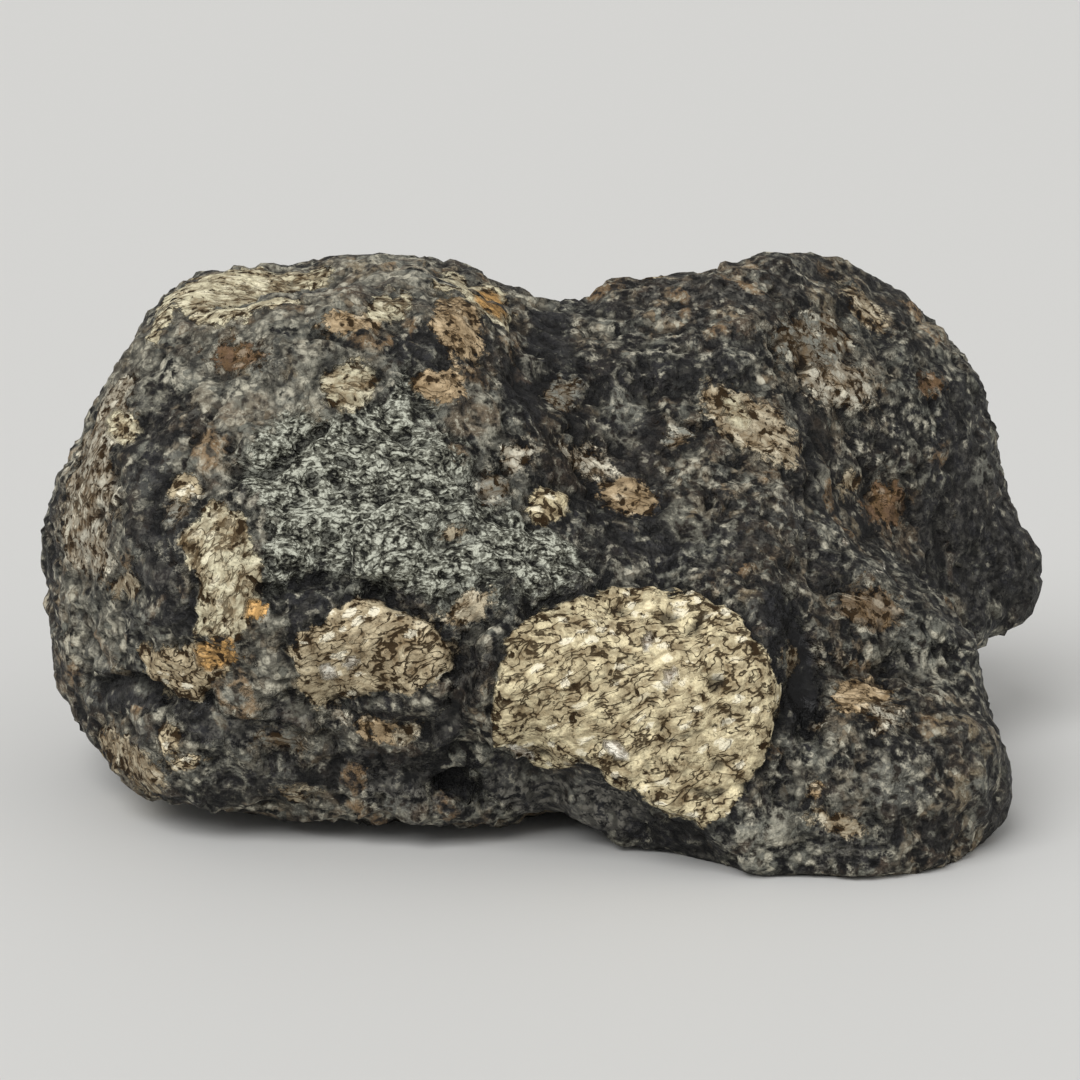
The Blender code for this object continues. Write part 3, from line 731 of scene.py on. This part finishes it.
def layPatches(points, place, shown):
    # Crowd, warmth and dust: unevenness on the unseen sides, the listed patches in front
    facts = np.stack([unevenness(points, name) for name in ("crowd", "warmth", "dust")], axis=1)
    spread = unevenness(points, "patch edge")
    for right, up, halfLong, halfShort, turn, *wanted in patches.values():
        inside = insideOval(place, right, up, halfLong, halfShort, turn) / min(halfLong, halfShort)
        weight = shown * smoothStep(*patchBlend, inside + spread)
        facts += weight[:, None] * (np.array(wanted) - facts)
    facts[:, 0] += unevenness(points, "mottled crowd")
    facts[:, 1] += unevenness(points, "mottled warmth")
    return np.clip(facts, 0.0, mostCrowd).T


def layChips(points, crowd, warmth):
    # For every point: how far inside a chip it is, the chip's colour, and how far it stands out
    edge, tint = np.full(len(points), -1.0), np.zeros((len(points), 3))
    lift = np.zeros(len(points))
    bent = points + shift(points, "chips")
    for size, share, rise, seed in chips["layers"].values():
        gap, dice = cellsOf(bent, size, seed)
        present = dice[:, 0] < share * (chips["least crowd"] + crowd)
        depth = np.where(present, 0.5 * gap - chips["gap"] * size, -1.0)
        warm = dice[:, 1] < warmth
        cool, brown = np.array(chips["cool"]), np.array(chips["warm"])
        number = (dice[:, 2] * len(cool)).astype(int)
        own = np.where(warm[:, None], brown[number], cool[number])
        over = depth > np.minimum(edge, 0.0)
        tint = np.where(over[:, None], own, tint)
        lift += rise * smoothStep(0.0, chips["slope"] * size, gap) * np.where(present, 1.0, chips["low"])
        edge = np.maximum(edge, depth)
    return edge, tint, lift


def fineRelief(points, place, shown, clasts, crust, glass, chipLift):
    # The height of the fine relief over the skin: crags, cracks and chips where the melt isn't
    # glassy, clasts in their moats, narrow lines, the crust's wrinkles, pits and the lip's setback
    inClast = smoothStep(*skinFacts["on a clast"], clasts["edge"])
    rough = 1.0 - skinFacts["calm on glass"] * smoothStep(*skinFacts["on glass"], glass)
    bent = points + shift(points, "folds")
    height = np.zeros(len(points))
    for size, rise, seed in skinFacts["crag"]:
        height += rise * (folds(bent, size, seed) - skinFacts["fold level"])
    for size, depth, width, seed in skinFacts["cracks"]:
        line = np.abs(lumpiness(bent, size, seed)) / width
        height -= depth * np.clip(1.0 - line, 0.0, 1.0) * (1.0 - skinFacts["closed on clasts"] * inClast)
    height = rough * (height * (1.0 - skinFacts["calm on clasts"] * inClast) + chipLift * (1.0 - inClast))
    height += clasts["lift"] * smoothStep(0.0, skinFacts["clast slope"], clasts["edge"])
    outside, width = skinFacts["moat"]
    height -= clasts["moat"] * np.exp(-((clasts["edge"] + outside) / width) ** 2)
    for width, rise, corners in lines.values():
        height += shown * rise * np.exp(-(distanceToLine(place, corners) / width) ** 2)
    pits = skinFacts["pits"]
    rng = np.random.default_rng(pits["seed"])
    for centre in points[rng.choice(len(points), pits["count"], replace=False)]:
        width, depth = rng.uniform(*pits["width"]), rng.uniform(*pits["depth"])
        away = np.linalg.norm(points - centre, axis=1)
        height -= depth * width * np.exp(-(away / width) ** 2)
    turn, stretch = skinFacts["wrinkle flow"]
    wrinkles = folds(turnedY(points, turn) * (stretch, 1.0, 1.0), *skinFacts["wrinkle"])
    wrinkles -= skinFacts["fold level"]
    height += skinFacts["wrinkle height"] * wrinkles * smoothStep(*skinFacts["on the crust"], crust)
    below = np.interp(place[:, 0], *np.array(lip["places"]).T) - place[:, 1]
    near = smoothStep(0.0, lip["edge"], below) * (1.0 - smoothStep(*lip["reach"], below))
    ends = smoothStep(*lip["left end"], place[:, 0]) * (1.0 - smoothStep(*lip["right end"], place[:, 0]))
    return height - lip["setback"] * near * ends * shown


def hollowness(points, normals, faces, rounds):
    # How far a point lies below the mean of its surroundings: the neighbours' mean, taken again
    # each round, less the point, along its normal
    edges, level = edgesOf(points, faces), points
    for _ in range(rounds):
        level = meanAround(level, *edges)
    return ((level - points) * normals).sum(axis=1)


def makeMesh(points, faces, values, tints, places):  # the stone with a value, tint or place per point
    mesh = bpy.data.meshes.new("meltBreccia")
    mesh.from_pydata((points - form["middle"]) * mm, [], faces)
    mesh.shade_smooth()
    for name, value in values.items():
        mesh.attributes.new(name, "FLOAT", "POINT").data.foreach_set("value", value)
    for name, tint in tints.items():
        colour = np.concatenate([tint, np.ones((len(points), 1))], axis=1)
        mesh.attributes.new(name, "FLOAT_COLOR", "POINT").data.foreach_set("color", colour.ravel())
    for name, spots in places.items():
        mesh.attributes.new(name, "FLOAT_VECTOR", "POINT").data.foreach_set("vector", spots.ravel())
    stone = bpy.data.objects.new("meltBreccia", mesh)
    bpy.context.scene.collection.objects.link(stone)
    return stone


def dressStone():
    points, faces = makeSkin()
    print("skin", len(points), "points")
    normals = normalsOf(points, faces)
    shown = smoothStep(*surface["in sight"], normals @ facing(-90.0, sight["elevation"]))
    place = seenFromFront(points)
    away = surface["out of sight"] * (1.0 - shown)
    crust = insideOutline(place, crustOutline) + unevenness(points, "crust edge") - away
    glass = np.max([insideOval(place, *facts) for facts in glassy.values()], axis=0)
    glass = glass + unevenness(points, "glass edge") - away
    glass = np.maximum(glass, unevenness(points, "hidden glass") - surface["glass kept off"] * shown)
    clasts = layClasts(points, place, shown)
    crowd, warmth, dust = layPatches(points, place, shown)
    crowd *= 1.0 - skinFacts["bare on glass"] * smoothStep(*skinFacts["on glass"], glass)
    chipEdge, chipTint, chipLift = layChips(points, crowd, warmth)
    print("clasts, patches and chips laid")
    height = fineRelief(points, place, shown, clasts, crust, glass, chipLift)
    warp, stain = shift(points, "grains"), unevenness(points, "stain")
    points = points + normals * (height * smoothStep(0.0, skinFacts["above ground"], points[:, 2]))[:, None]
    points[:, 2] = np.maximum(points[:, 2], 0.0)
    normals = normalsOf(points, faces)
    # Painted shade: these measures darken creases, hollows and the low underside that faces down
    below = smoothStep(0.0, surface["facing down"], normals[:, 2])
    below = surface["underside"] * below * smoothStep(*surface["low"], points[:, 2])
    creaseShade = hollowness(points, normals, faces, surface["crease rounds"])
    hollows = hollowness(points, normals, faces, surface["hollow rounds"]) + below
    values = {"clastEdge": clasts["edge"], "clastLaths": clasts["laths"], "crustEdge": crust,
              "glassEdge": glass, "chipEdge": chipEdge, "crowd": crowd, "warmth": warmth, "dust": dust,
              "creaseShade": creaseShade, "hollows": hollows, "stain": stain}
    return makeMesh(points, faces, values, {"clastTint": clasts["tint"], "chipTint": chipTint},
                    {"clastPlace": clasts["place"] + warp, "bentPlace": points + warp})


class Wire:
    # A socket that does arithmetic: each operator adds a Math node
    def __init__(self, bench, socket):
        self.bench, self.socket = bench, socket

    def math(self, operation, *values):
        return self.bench.node("ShaderNodeMath", {"operation": operation}, dict(enumerate(values)))

    def __add__(self, other):
        return self.math("ADD", self, other)

    def __radd__(self, other):
        return self.math("ADD", other, self)

    def __sub__(self, other):
        return self.math("SUBTRACT", self, other)

    def __rsub__(self, other):
        return self.math("SUBTRACT", other, self)

    def __mul__(self, other):
        return self.math("MULTIPLY", self, other)

    def __abs__(self):
        return self.math("ABSOLUTE", self)

    def step(self, start, full, most=1.0):  # goes smoothly from 0 at start to most at full
        return self.bench.node("ShaderNodeMapRange", {"interpolation_type": "SMOOTHSTEP"},
                               {"Value": self, "From Min": start, "From Max": full, "To Max": most})


class Bench:
    # One material's nodes
    def __init__(self, name):
        self.material = bpy.data.materials.new(name)
        self.material.use_nodes = True
        self.tree = self.material.node_tree
        self.shader = self.tree.nodes["Principled BSDF"]
        self.made = 0

    def link(self, value, socket):
        if isinstance(value, Wire):
            self.tree.links.new(value.socket, socket)
        else:
            socket.default_value = value

    def node(self, kind, settings=None, inputs=None, output=0):  # settings first, then the inputs
        made = self.tree.nodes.new(kind)
        made.location = (-260 * (self.made % 9) - 300, -230 * (self.made // 9))
        self.made += 1
        for name, value in (settings or {}).items():
            setattr(made, name, value)
        for name, value in (inputs or {}).items():
            self.link(value, made.inputs[name])
        return Wire(self, made.outputs[output])

    def attribute(self, name, output="Fac"):
        return self.node("ShaderNodeAttribute", {"attribute_name": name}, output=output)

    def noise(self, place, scale, detail, roughness, distortion=0.0):
        return self.node("ShaderNodeTexNoise", {}, {
            "Vector": place, "Scale": scale, "Detail": detail, "Roughness": roughness,
            "Distortion": distortion})

    def stretched(self, place, turn, scale):  # the place turned about Y, then drawn out along each axis
        return self.node("ShaderNodeMapping", {}, {
            "Vector": place, "Rotation": (0.0, np.radians(turn), 0.0), "Scale": scale})

    def clefts(self, place, scale, narrowness):  # 0 in winding clefts, 1 away from them
        return (abs(self.noise(place, scale, 2.0, 0.5) - 0.5) * narrowness).step(0.0, 1.0)

    def cells(self, place, scale):  # how far the nearest cell's centre is, and that cell's colour
        reach = self.node("ShaderNodeTexVoronoi", {}, {"Vector": place, "Scale": scale}, "Distance")
        return reach, Wire(self, reach.socket.node.outputs["Color"])

    def blend(self, factor, a, b, way="MIX"):  # colours
        return self.node("ShaderNodeMix", {"data_type": "RGBA", "blend_type": way},
                         {0: factor, 6: a, 7: b}, 2)

    def split(self, colour, part):
        return self.node("ShaderNodeSeparateColor", {}, {"Color": colour}, part)


# Colours of the melt, the crust and what fills the pores, and how rough each is
melt = {
    "black": (0.006, 0.006, 0.0062, 1.0),
    "blue black": (0.023, 0.023, 0.025, 1.0),
    "brown black": (0.036, 0.028, 0.021, 1.0),
    "dust": (0.168, 0.160, 0.138, 1.0),
    "cool grain": (0.18, 0.18, 0.15, 1.0),
    "brown grain": (0.24, 0.185, 0.12, 1.0),
    "light grain": (0.54, 0.51, 0.405, 1.0),
    "crust dark": (0.012, 0.012, 0.010, 1.0),
    "crust middle": (0.145, 0.145, 0.115, 1.0),
    "crust light": (0.56, 0.57, 0.475, 1.0),
    "pore": (0.030, 0.017, 0.006, 1.0),
    # the brown of real stain, and of the painted shade beside crevices
    "clast stain and crevice shade": (0.27, 0.165, 0.07, 1.0),
    "lath": (0.93, 0.87, 0.69, 1.0),
    "roughness": 0.55,
    "glassy roughness": 0.36,
    "clast roughness": 0.80,
    "sheen off the surface": 0.15,  # the shader's specular level
}


# How the layers are built up. A mask is given as where it starts, where it is full and how strong
# it then is; noises, grains and clefts are counted per millimetre. The weights in the sums below
# say how much each noise counts.
noiseFacts = {  # per millimetre, layers, roughness
    "coarse": (0.65, 3.0, 0.62),
    "middle": (1.5, 3.0, 0.50),
    "speckle": (5.0, 2.0, 0.6),
    "fray": (1.3, 3.0, 0.65),
}
meltFacts = {
    "grains": 1.5,
    "brown": (0.2, 0.8),
    "lit": (0.38, 0.58),
    "film": (0.36, 0.62),
    "cover": (0.45, 0.56),
    "cover strength": 0.90,
    "brown grains": (0.1, 0.7),
    "light grains": (0.71, 0.99),
    "seams": (0.46, 0.70, 0.65),
    "spot size": 0.42,
    "spot edges": (0.0, 0.25),
    "spots": (0.95, 1.06, 0.6),
    "chips": (-0.15, 0.40, 0.75),
    "chip tint": (0.36, 0.50),
    "chip lights": (0.84, 1.0, 0.6),
    # painted shade in the low places between the tops
    "shade in low places": (0.47, 0.34, 0.80),
}
crustFacts = {
    "flow": (-20.0, (0.75, 1.2, 1.25)),  # its turn and scale
    "cracks": (0.75, 9.0),  # per millimetre, and how narrow
    "wrinkles": (1.7, 9.0),
    "middle": (-0.05, 0.32),
    "light": (0.32, 0.78),
}
clastFacts = {
    "lie": (6.0, (0.68, 1.20, 1.40)),  # the turn and scale of the pattern along the laths
    "grains": 1.2,
    "crevice noise": (1.15, 2.0, 0.5, 0.3),
    "crevice narrowness": 14.5,
    "thinned by stain": 0.8,
    "crevices": (0.50, -0.05),
    # painted brown shade beside the crevices
    "shade beside crevices": (1.3, 0.1, 0.22),
    "nick narrowness": 22.0,
    "nicks": (0.50, 0.05, 0.32),
    "holes": (0.34, 0.27),
    "seams": (0.48, 0.72),
    "seam strength": 0.34,
    "stained": (0.58, 0.40),
    "white grains": (0.78, 0.86),
    "white size": 0.56,
    "white edges": (0.0, 0.22),
    "white strength": 0.80,
}
joins = {  # how the layers meet, and how hollow places are darkened
    "glass": (-0.4, 0.5),
    "glass frays": 2.4,
    "glass smooths": 0.65,
    "crust": (-0.6, 0.8),
    "crust frays": 5.0,
    "clast": (-0.08, 0.14),
    "clast frays": 1.3,
    "clast specks": 0.5,
    "rim of a clast": (1.5, 0.1),
    "moat outside": 0.30,
    "moat narrowness": 3.4,
    "moat": (0.0, 1.0, 0.6),
    # painted shade: how strongly creases and hollows, the underside among them, are darkened
    "creaseShade": (0.04, 0.22, 0.70),
    "creases fray": 0.10,
    "hollows": (0.20, 1.5, 0.40),
    "rough specks": 0.16,
}


def meltLayer(desk, bent, noises):
    # The melt between the clasts: near-black under a film of dust, and granular material over it, which
    # covers more the more crowded it is and is light on its tops, with painted shade that darkens the low
    # places between them
    coarse, middle, speckle, fray = noises
    crowd = desk.attribute("crowd")
    warm = (desk.attribute("warmth") + fray * 0.5).step(*meltFacts["brown"])
    colour = desk.blend(warm, melt["blue black"], melt["brown black"])
    colour = desk.blend(coarse.step(*meltFacts["lit"]), melt["black"], colour)
    film = desk.attribute("dust") * (middle + (speckle - 0.5) * 0.6).step(*meltFacts["film"])
    colour = desk.blend(film, colour, melt["dust"])
    reach, dice = desk.cells(bent, meltFacts["grains"])
    pick = desk.split(dice, "Red")
    tops = coarse * 0.50 + middle * 0.50 + (speckle - 0.5) * 0.14
    cover = (tops + (crowd - 0.5) * 0.30).step(*meltFacts["cover"])
    brown = warm * desk.split(dice, "Green").step(*meltFacts["brown grains"])
    tint = desk.blend(brown, melt["cool grain"], melt["brown grain"])
    light = coarse * 0.3 + middle * 0.6 + (speckle - 0.5) * 0.4 + pick * 0.34 + crowd * 0.20
    tint = desk.blend(light.step(*meltFacts["light grains"]), tint, melt["light grain"])
    colour = desk.blend(cover * meltFacts["cover strength"], colour, tint)
    seam = reach + (middle - 0.5) * 0.6 + (speckle - 0.5) * 0.25
    colour = desk.blend(seam.step(*meltFacts["seams"]), colour, melt["black"])
    spot = meltFacts["spot size"] - reach + fray * 0.6 + (speckle - 0.5) * 0.5
    spot = spot.step(*meltFacts["spot edges"]) * (pick + crowd * 0.30).step(*meltFacts["spots"])
    colour = desk.blend(spot, colour, melt["light grain"])
    chip = desk.attribute("chipEdge") + fray * 1.4
    chipTint = desk.attribute("chipTint", "Color")
    chipTint = desk.blend(middle.step(*meltFacts["chip tint"]), melt["brown black"], chipTint)
    lights = (middle + speckle * 0.6).step(*meltFacts["chip lights"])
    chipTint = desk.blend(lights, chipTint, melt["light grain"])
    colour = desk.blend(chip.step(*meltFacts["chips"]), colour, chipTint)
    # Painted shade: the low places between the tops are blended towards black
    colour = desk.blend(tops.step(*meltFacts["shade in low places"]), colour, melt["black"])
    return colour, coarse * 0.70 + middle * 0.50 + speckle * 0.09 + cover * 0.07


def crustLayer(desk, bent, noises):
    # The wrinkled grey crust: crumpled plates drawn out along the flow, light on their tops, with
    # dark winding cracks between
    coarse, middle, speckle, _ = noises
    flow = desk.stretched(bent, *crustFacts["flow"])
    cracks = desk.clefts(flow, *crustFacts["cracks"])
    wrinkles = desk.clefts(flow, *crustFacts["wrinkles"])
    tone = cracks * 0.30 + wrinkles * 0.46 + (middle - 0.5) * 1.6 + (speckle - 0.5) * 1.2 + coarse - 0.5
    colour = desk.blend(tone.step(*crustFacts["middle"]), melt["crust dark"], melt["crust middle"])
    colour = desk.blend(tone.step(*crustFacts["light"]), colour, melt["crust light"])
    return colour, cracks * 0.12 + wrinkles * 0.14 + middle * 0.50 + coarse * 0.90 + speckle * 0.10


def clastLayer(desk, noises, rim):
    # A pale clast: grains that lie along its laths, some of them white, parted by winding crevices with
    # brown painted shade beside them and between the grains, a real brown stain in patches, and pitted with
    # pores
    coarse, middle, speckle, fray = noises
    laths = desk.attribute("clastLaths")
    lie = desk.stretched(desk.attribute("clastPlace", "Vector"), *clastFacts["lie"])
    reach, dice = desk.cells(lie, clastFacts["grains"])
    pick = desk.split(dice, "Red")
    thin = (desk.attribute("stain") - 0.5) * clastFacts["thinned by stain"]
    parting = abs(desk.noise(lie, *clastFacts["crevice noise"]) - 0.5) * clastFacts["crevice narrowness"]
    parting = parting + (coarse - 0.5) * 2.6 + thin
    crevice = parting.step(*clastFacts["crevices"])
    nick = abs(middle - 0.5) * clastFacts["nick narrowness"] + fray * 6.0 + thin * 0.6 + 0.42
    nick = nick.step(*clastFacts["nicks"])
    holes = (middle + (coarse - 0.5) * 0.30 - rim * 0.12).step(*clastFacts["holes"])
    seam = (reach + (middle - 0.5) * 0.8 + (speckle - 0.5) * 0.5).step(*clastFacts["seams"])
    shade = 0.64 + pick * 0.34 + (coarse - 0.5) * 1.1 + (speckle - 0.5) * 1.2 + (middle - 0.5) * 0.9
    grey = desk.node("ShaderNodeCombineColor", {}, {"Red": shade, "Green": shade, "Blue": shade})
    colour = desk.blend(1.0, desk.attribute("clastTint", "Color"), grey, "MULTIPLY")
    stain = (coarse + (middle - 0.5) * 0.8).step(*clastFacts["stained"]) * (0.36 - laths * 0.12)
    # Painted shade: brown beside the crevices and along the grains' seams, over the real stain in patches
    stain = stain + parting.step(*clastFacts["shade beside crevices"]) + seam * 0.22
    colour = desk.blend(stain, colour, melt["clast stain and crevice shade"])
    white = clastFacts["white size"] - reach + (speckle - 0.5) * 0.8 + (middle - 0.5) * 0.8
    white = pick.step(*clastFacts["white grains"]) * laths * white.step(*clastFacts["white edges"])
    colour = desk.blend(white * clastFacts["white strength"], colour, melt["lath"])
    dark = crevice * (0.45 + laths * 0.5)
    dark = dark + nick * (1.0 - dark)
    dark = dark + holes * (1.0 - dark)
    deep = (dark + seam * clastFacts["seam strength"] * (1.0 - dark)) * (1.0 - white * 0.6)
    colour = desk.blend(deep, colour, melt["pore"])
    return colour, coarse * 0.50 + middle * 0.24 + speckle * 0.10 - dark * 0.18


def finishStone():
    # The melt, under the crust, under the clasts. Each layer is a colour and a height in millimetres, laid
    # over the last one by a mask; at the end, painted shade darkens creases and hollows, the low underside
    # among them.
    desk = Bench("meltBreccia")
    place = desk.node("ShaderNodeVectorMath", {"operation": "SCALE"}, {
        0: desk.node("ShaderNodeTexCoord", {}, {}, "Object"), "Scale": 1.0 / mm})
    bent = desk.attribute("bentPlace", "Vector")
    fray = desk.noise(place, *noiseFacts["fray"]) - 0.5
    speckle = desk.noise(place, *noiseFacts["speckle"])
    coarse, middle = desk.noise(place, *noiseFacts["coarse"]), desk.noise(bent, *noiseFacts["middle"])
    noises = coarse, middle, speckle, fray
    glass = (desk.attribute("glassEdge") + fray * joins["glass frays"]).step(*joins["glass"])
    colour, height = meltLayer(desk, bent, noises)
    height = height * (1.0 - glass * joins["glass smooths"])

    crust = (desk.attribute("crustEdge") + fray * joins["crust frays"]).step(*joins["crust"])
    crustColour, crustHeight = crustLayer(desk, bent, noises)
    colour = desk.blend(crust, colour, crustColour)
    height = height + (crustHeight - height) * crust

    edge = desk.attribute("clastEdge") + fray * joins["clast frays"]
    edge = edge + (speckle - 0.5) * joins["clast specks"]
    inClast = edge.step(*joins["clast"])
    moat = 1.0 - abs(edge + joins["moat outside"]) * joins["moat narrowness"]
    colour = desk.blend(moat.step(*joins["moat"]), colour, melt["black"])
    clastColour, clastHeight = clastLayer(desk, noises, edge.step(*joins["rim of a clast"]))
    colour = desk.blend(inClast, colour, clastColour)
    height = height + (clastHeight - height) * inClast

    # Painted shade: creases and hollows, the underside among them, are blended towards black
    crease = desk.attribute("creaseShade") + fray * joins["creases fray"]
    colour = desk.blend(crease.step(*joins["creaseShade"]), colour, melt["black"])
    colour = desk.blend(desk.attribute("hollows").step(*joins["hollows"]), colour, melt["black"])
    roughness = melt["roughness"] + (speckle - 0.5) * joins["rough specks"]
    roughness = roughness - glass * (melt["roughness"] - melt["glassy roughness"])
    roughness = roughness + (melt["clast roughness"] - roughness) * inClast
    bump = desk.node("ShaderNodeBump", {}, {"Strength": 1.0, "Distance": mm, "Height": height})
    for name, value in (("Base Color", colour), ("Roughness", roughness), ("Normal", bump),
                        ("Specular IOR Level", melt["sheen off the surface"])):
        desk.link(value, desk.shader.inputs[name])
    return desk.material


# The studio: a pale floor, a wide soft light from high on the camera's left, a weaker one on its
# right, and pale air all round
studio = {
    "floor": (0.66, 0.66, 0.65, 1.0),
    "floor size": 8.0,  # metres
    "floor roughness": 0.6,
    "air": (1.0, 0.99, 0.965, 1.0),
    "air strength": 0.52,
    "key": {"from": (-0.55, -0.95, 1.15), "spread": 40.0, "strength": 2.05},
    "fill": {"from": (0.9, -0.9, 0.5), "spread": 80.0, "strength": 0.35},
}


def aimAt(thing, target):  # turns a lamp or a camera to look at a place
    thing.rotation_mode = "QUATERNION"
    thing.rotation_quaternion = (target - thing.location).to_track_quat("-Z", "Y")


def makeStudio():
    scene = bpy.context.scene
    scene.view_settings.view_transform = "Standard"
    centre = Vector((np.array(sight["aim"]) - form["middle"]) * mm)
    half = studio["floor size"] / 2.0
    mesh = bpy.data.meshes.new("floor")
    mesh.from_pydata([(-half, -half, 0.0), (half, -half, 0.0), (half, half, 0.0), (-half, half, 0.0)],
                     [], [(0, 1, 2, 3)])
    floor = bpy.data.objects.new("floor", mesh)
    scene.collection.objects.link(floor)
    desk = Bench("floor")
    desk.link(studio["floor"], desk.shader.inputs["Base Color"])
    desk.link(studio["floor roughness"], desk.shader.inputs["Roughness"])
    mesh.materials.append(desk.material)
    world = bpy.data.worlds.new("studio")
    scene.world = world
    world.use_nodes = True
    air = world.node_tree.nodes["Background"]
    air.inputs["Color"].default_value = studio["air"]
    air.inputs["Strength"].default_value = studio["air strength"]
    for name in ("key", "fill"):
        facts = studio[name]
        light = bpy.data.lights.new(name, "SUN")
        light.angle = np.radians(facts["spread"])
        light.energy = facts["strength"]
        lamp = bpy.data.objects.new(name, light)
        scene.collection.objects.link(lamp)
        lamp.location = Vector(facts["from"])
        aimAt(lamp, Vector((0.0, 0.0, 0.0)))
    lift = np.radians(sight["elevation"])
    camera = bpy.data.objects.new("camera", bpy.data.cameras.new("camera"))
    scene.collection.objects.link(camera)
    camera.location = centre + Vector((0.0, -np.cos(lift), np.sin(lift))) * sight["distance"] * mm
    camera.data.lens = sight["lens"]
    camera.data.sensor_width = sight["sensor"]
    camera.data.clip_start = sight["nearest"]
    aimAt(camera, centre)
    scene.camera = camera


stone = dressStone()
stone.data.materials.append(finishStone())
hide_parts("stone")
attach(stone, "root")
print("stone dressed")
makeStudio()
print("studio ready")
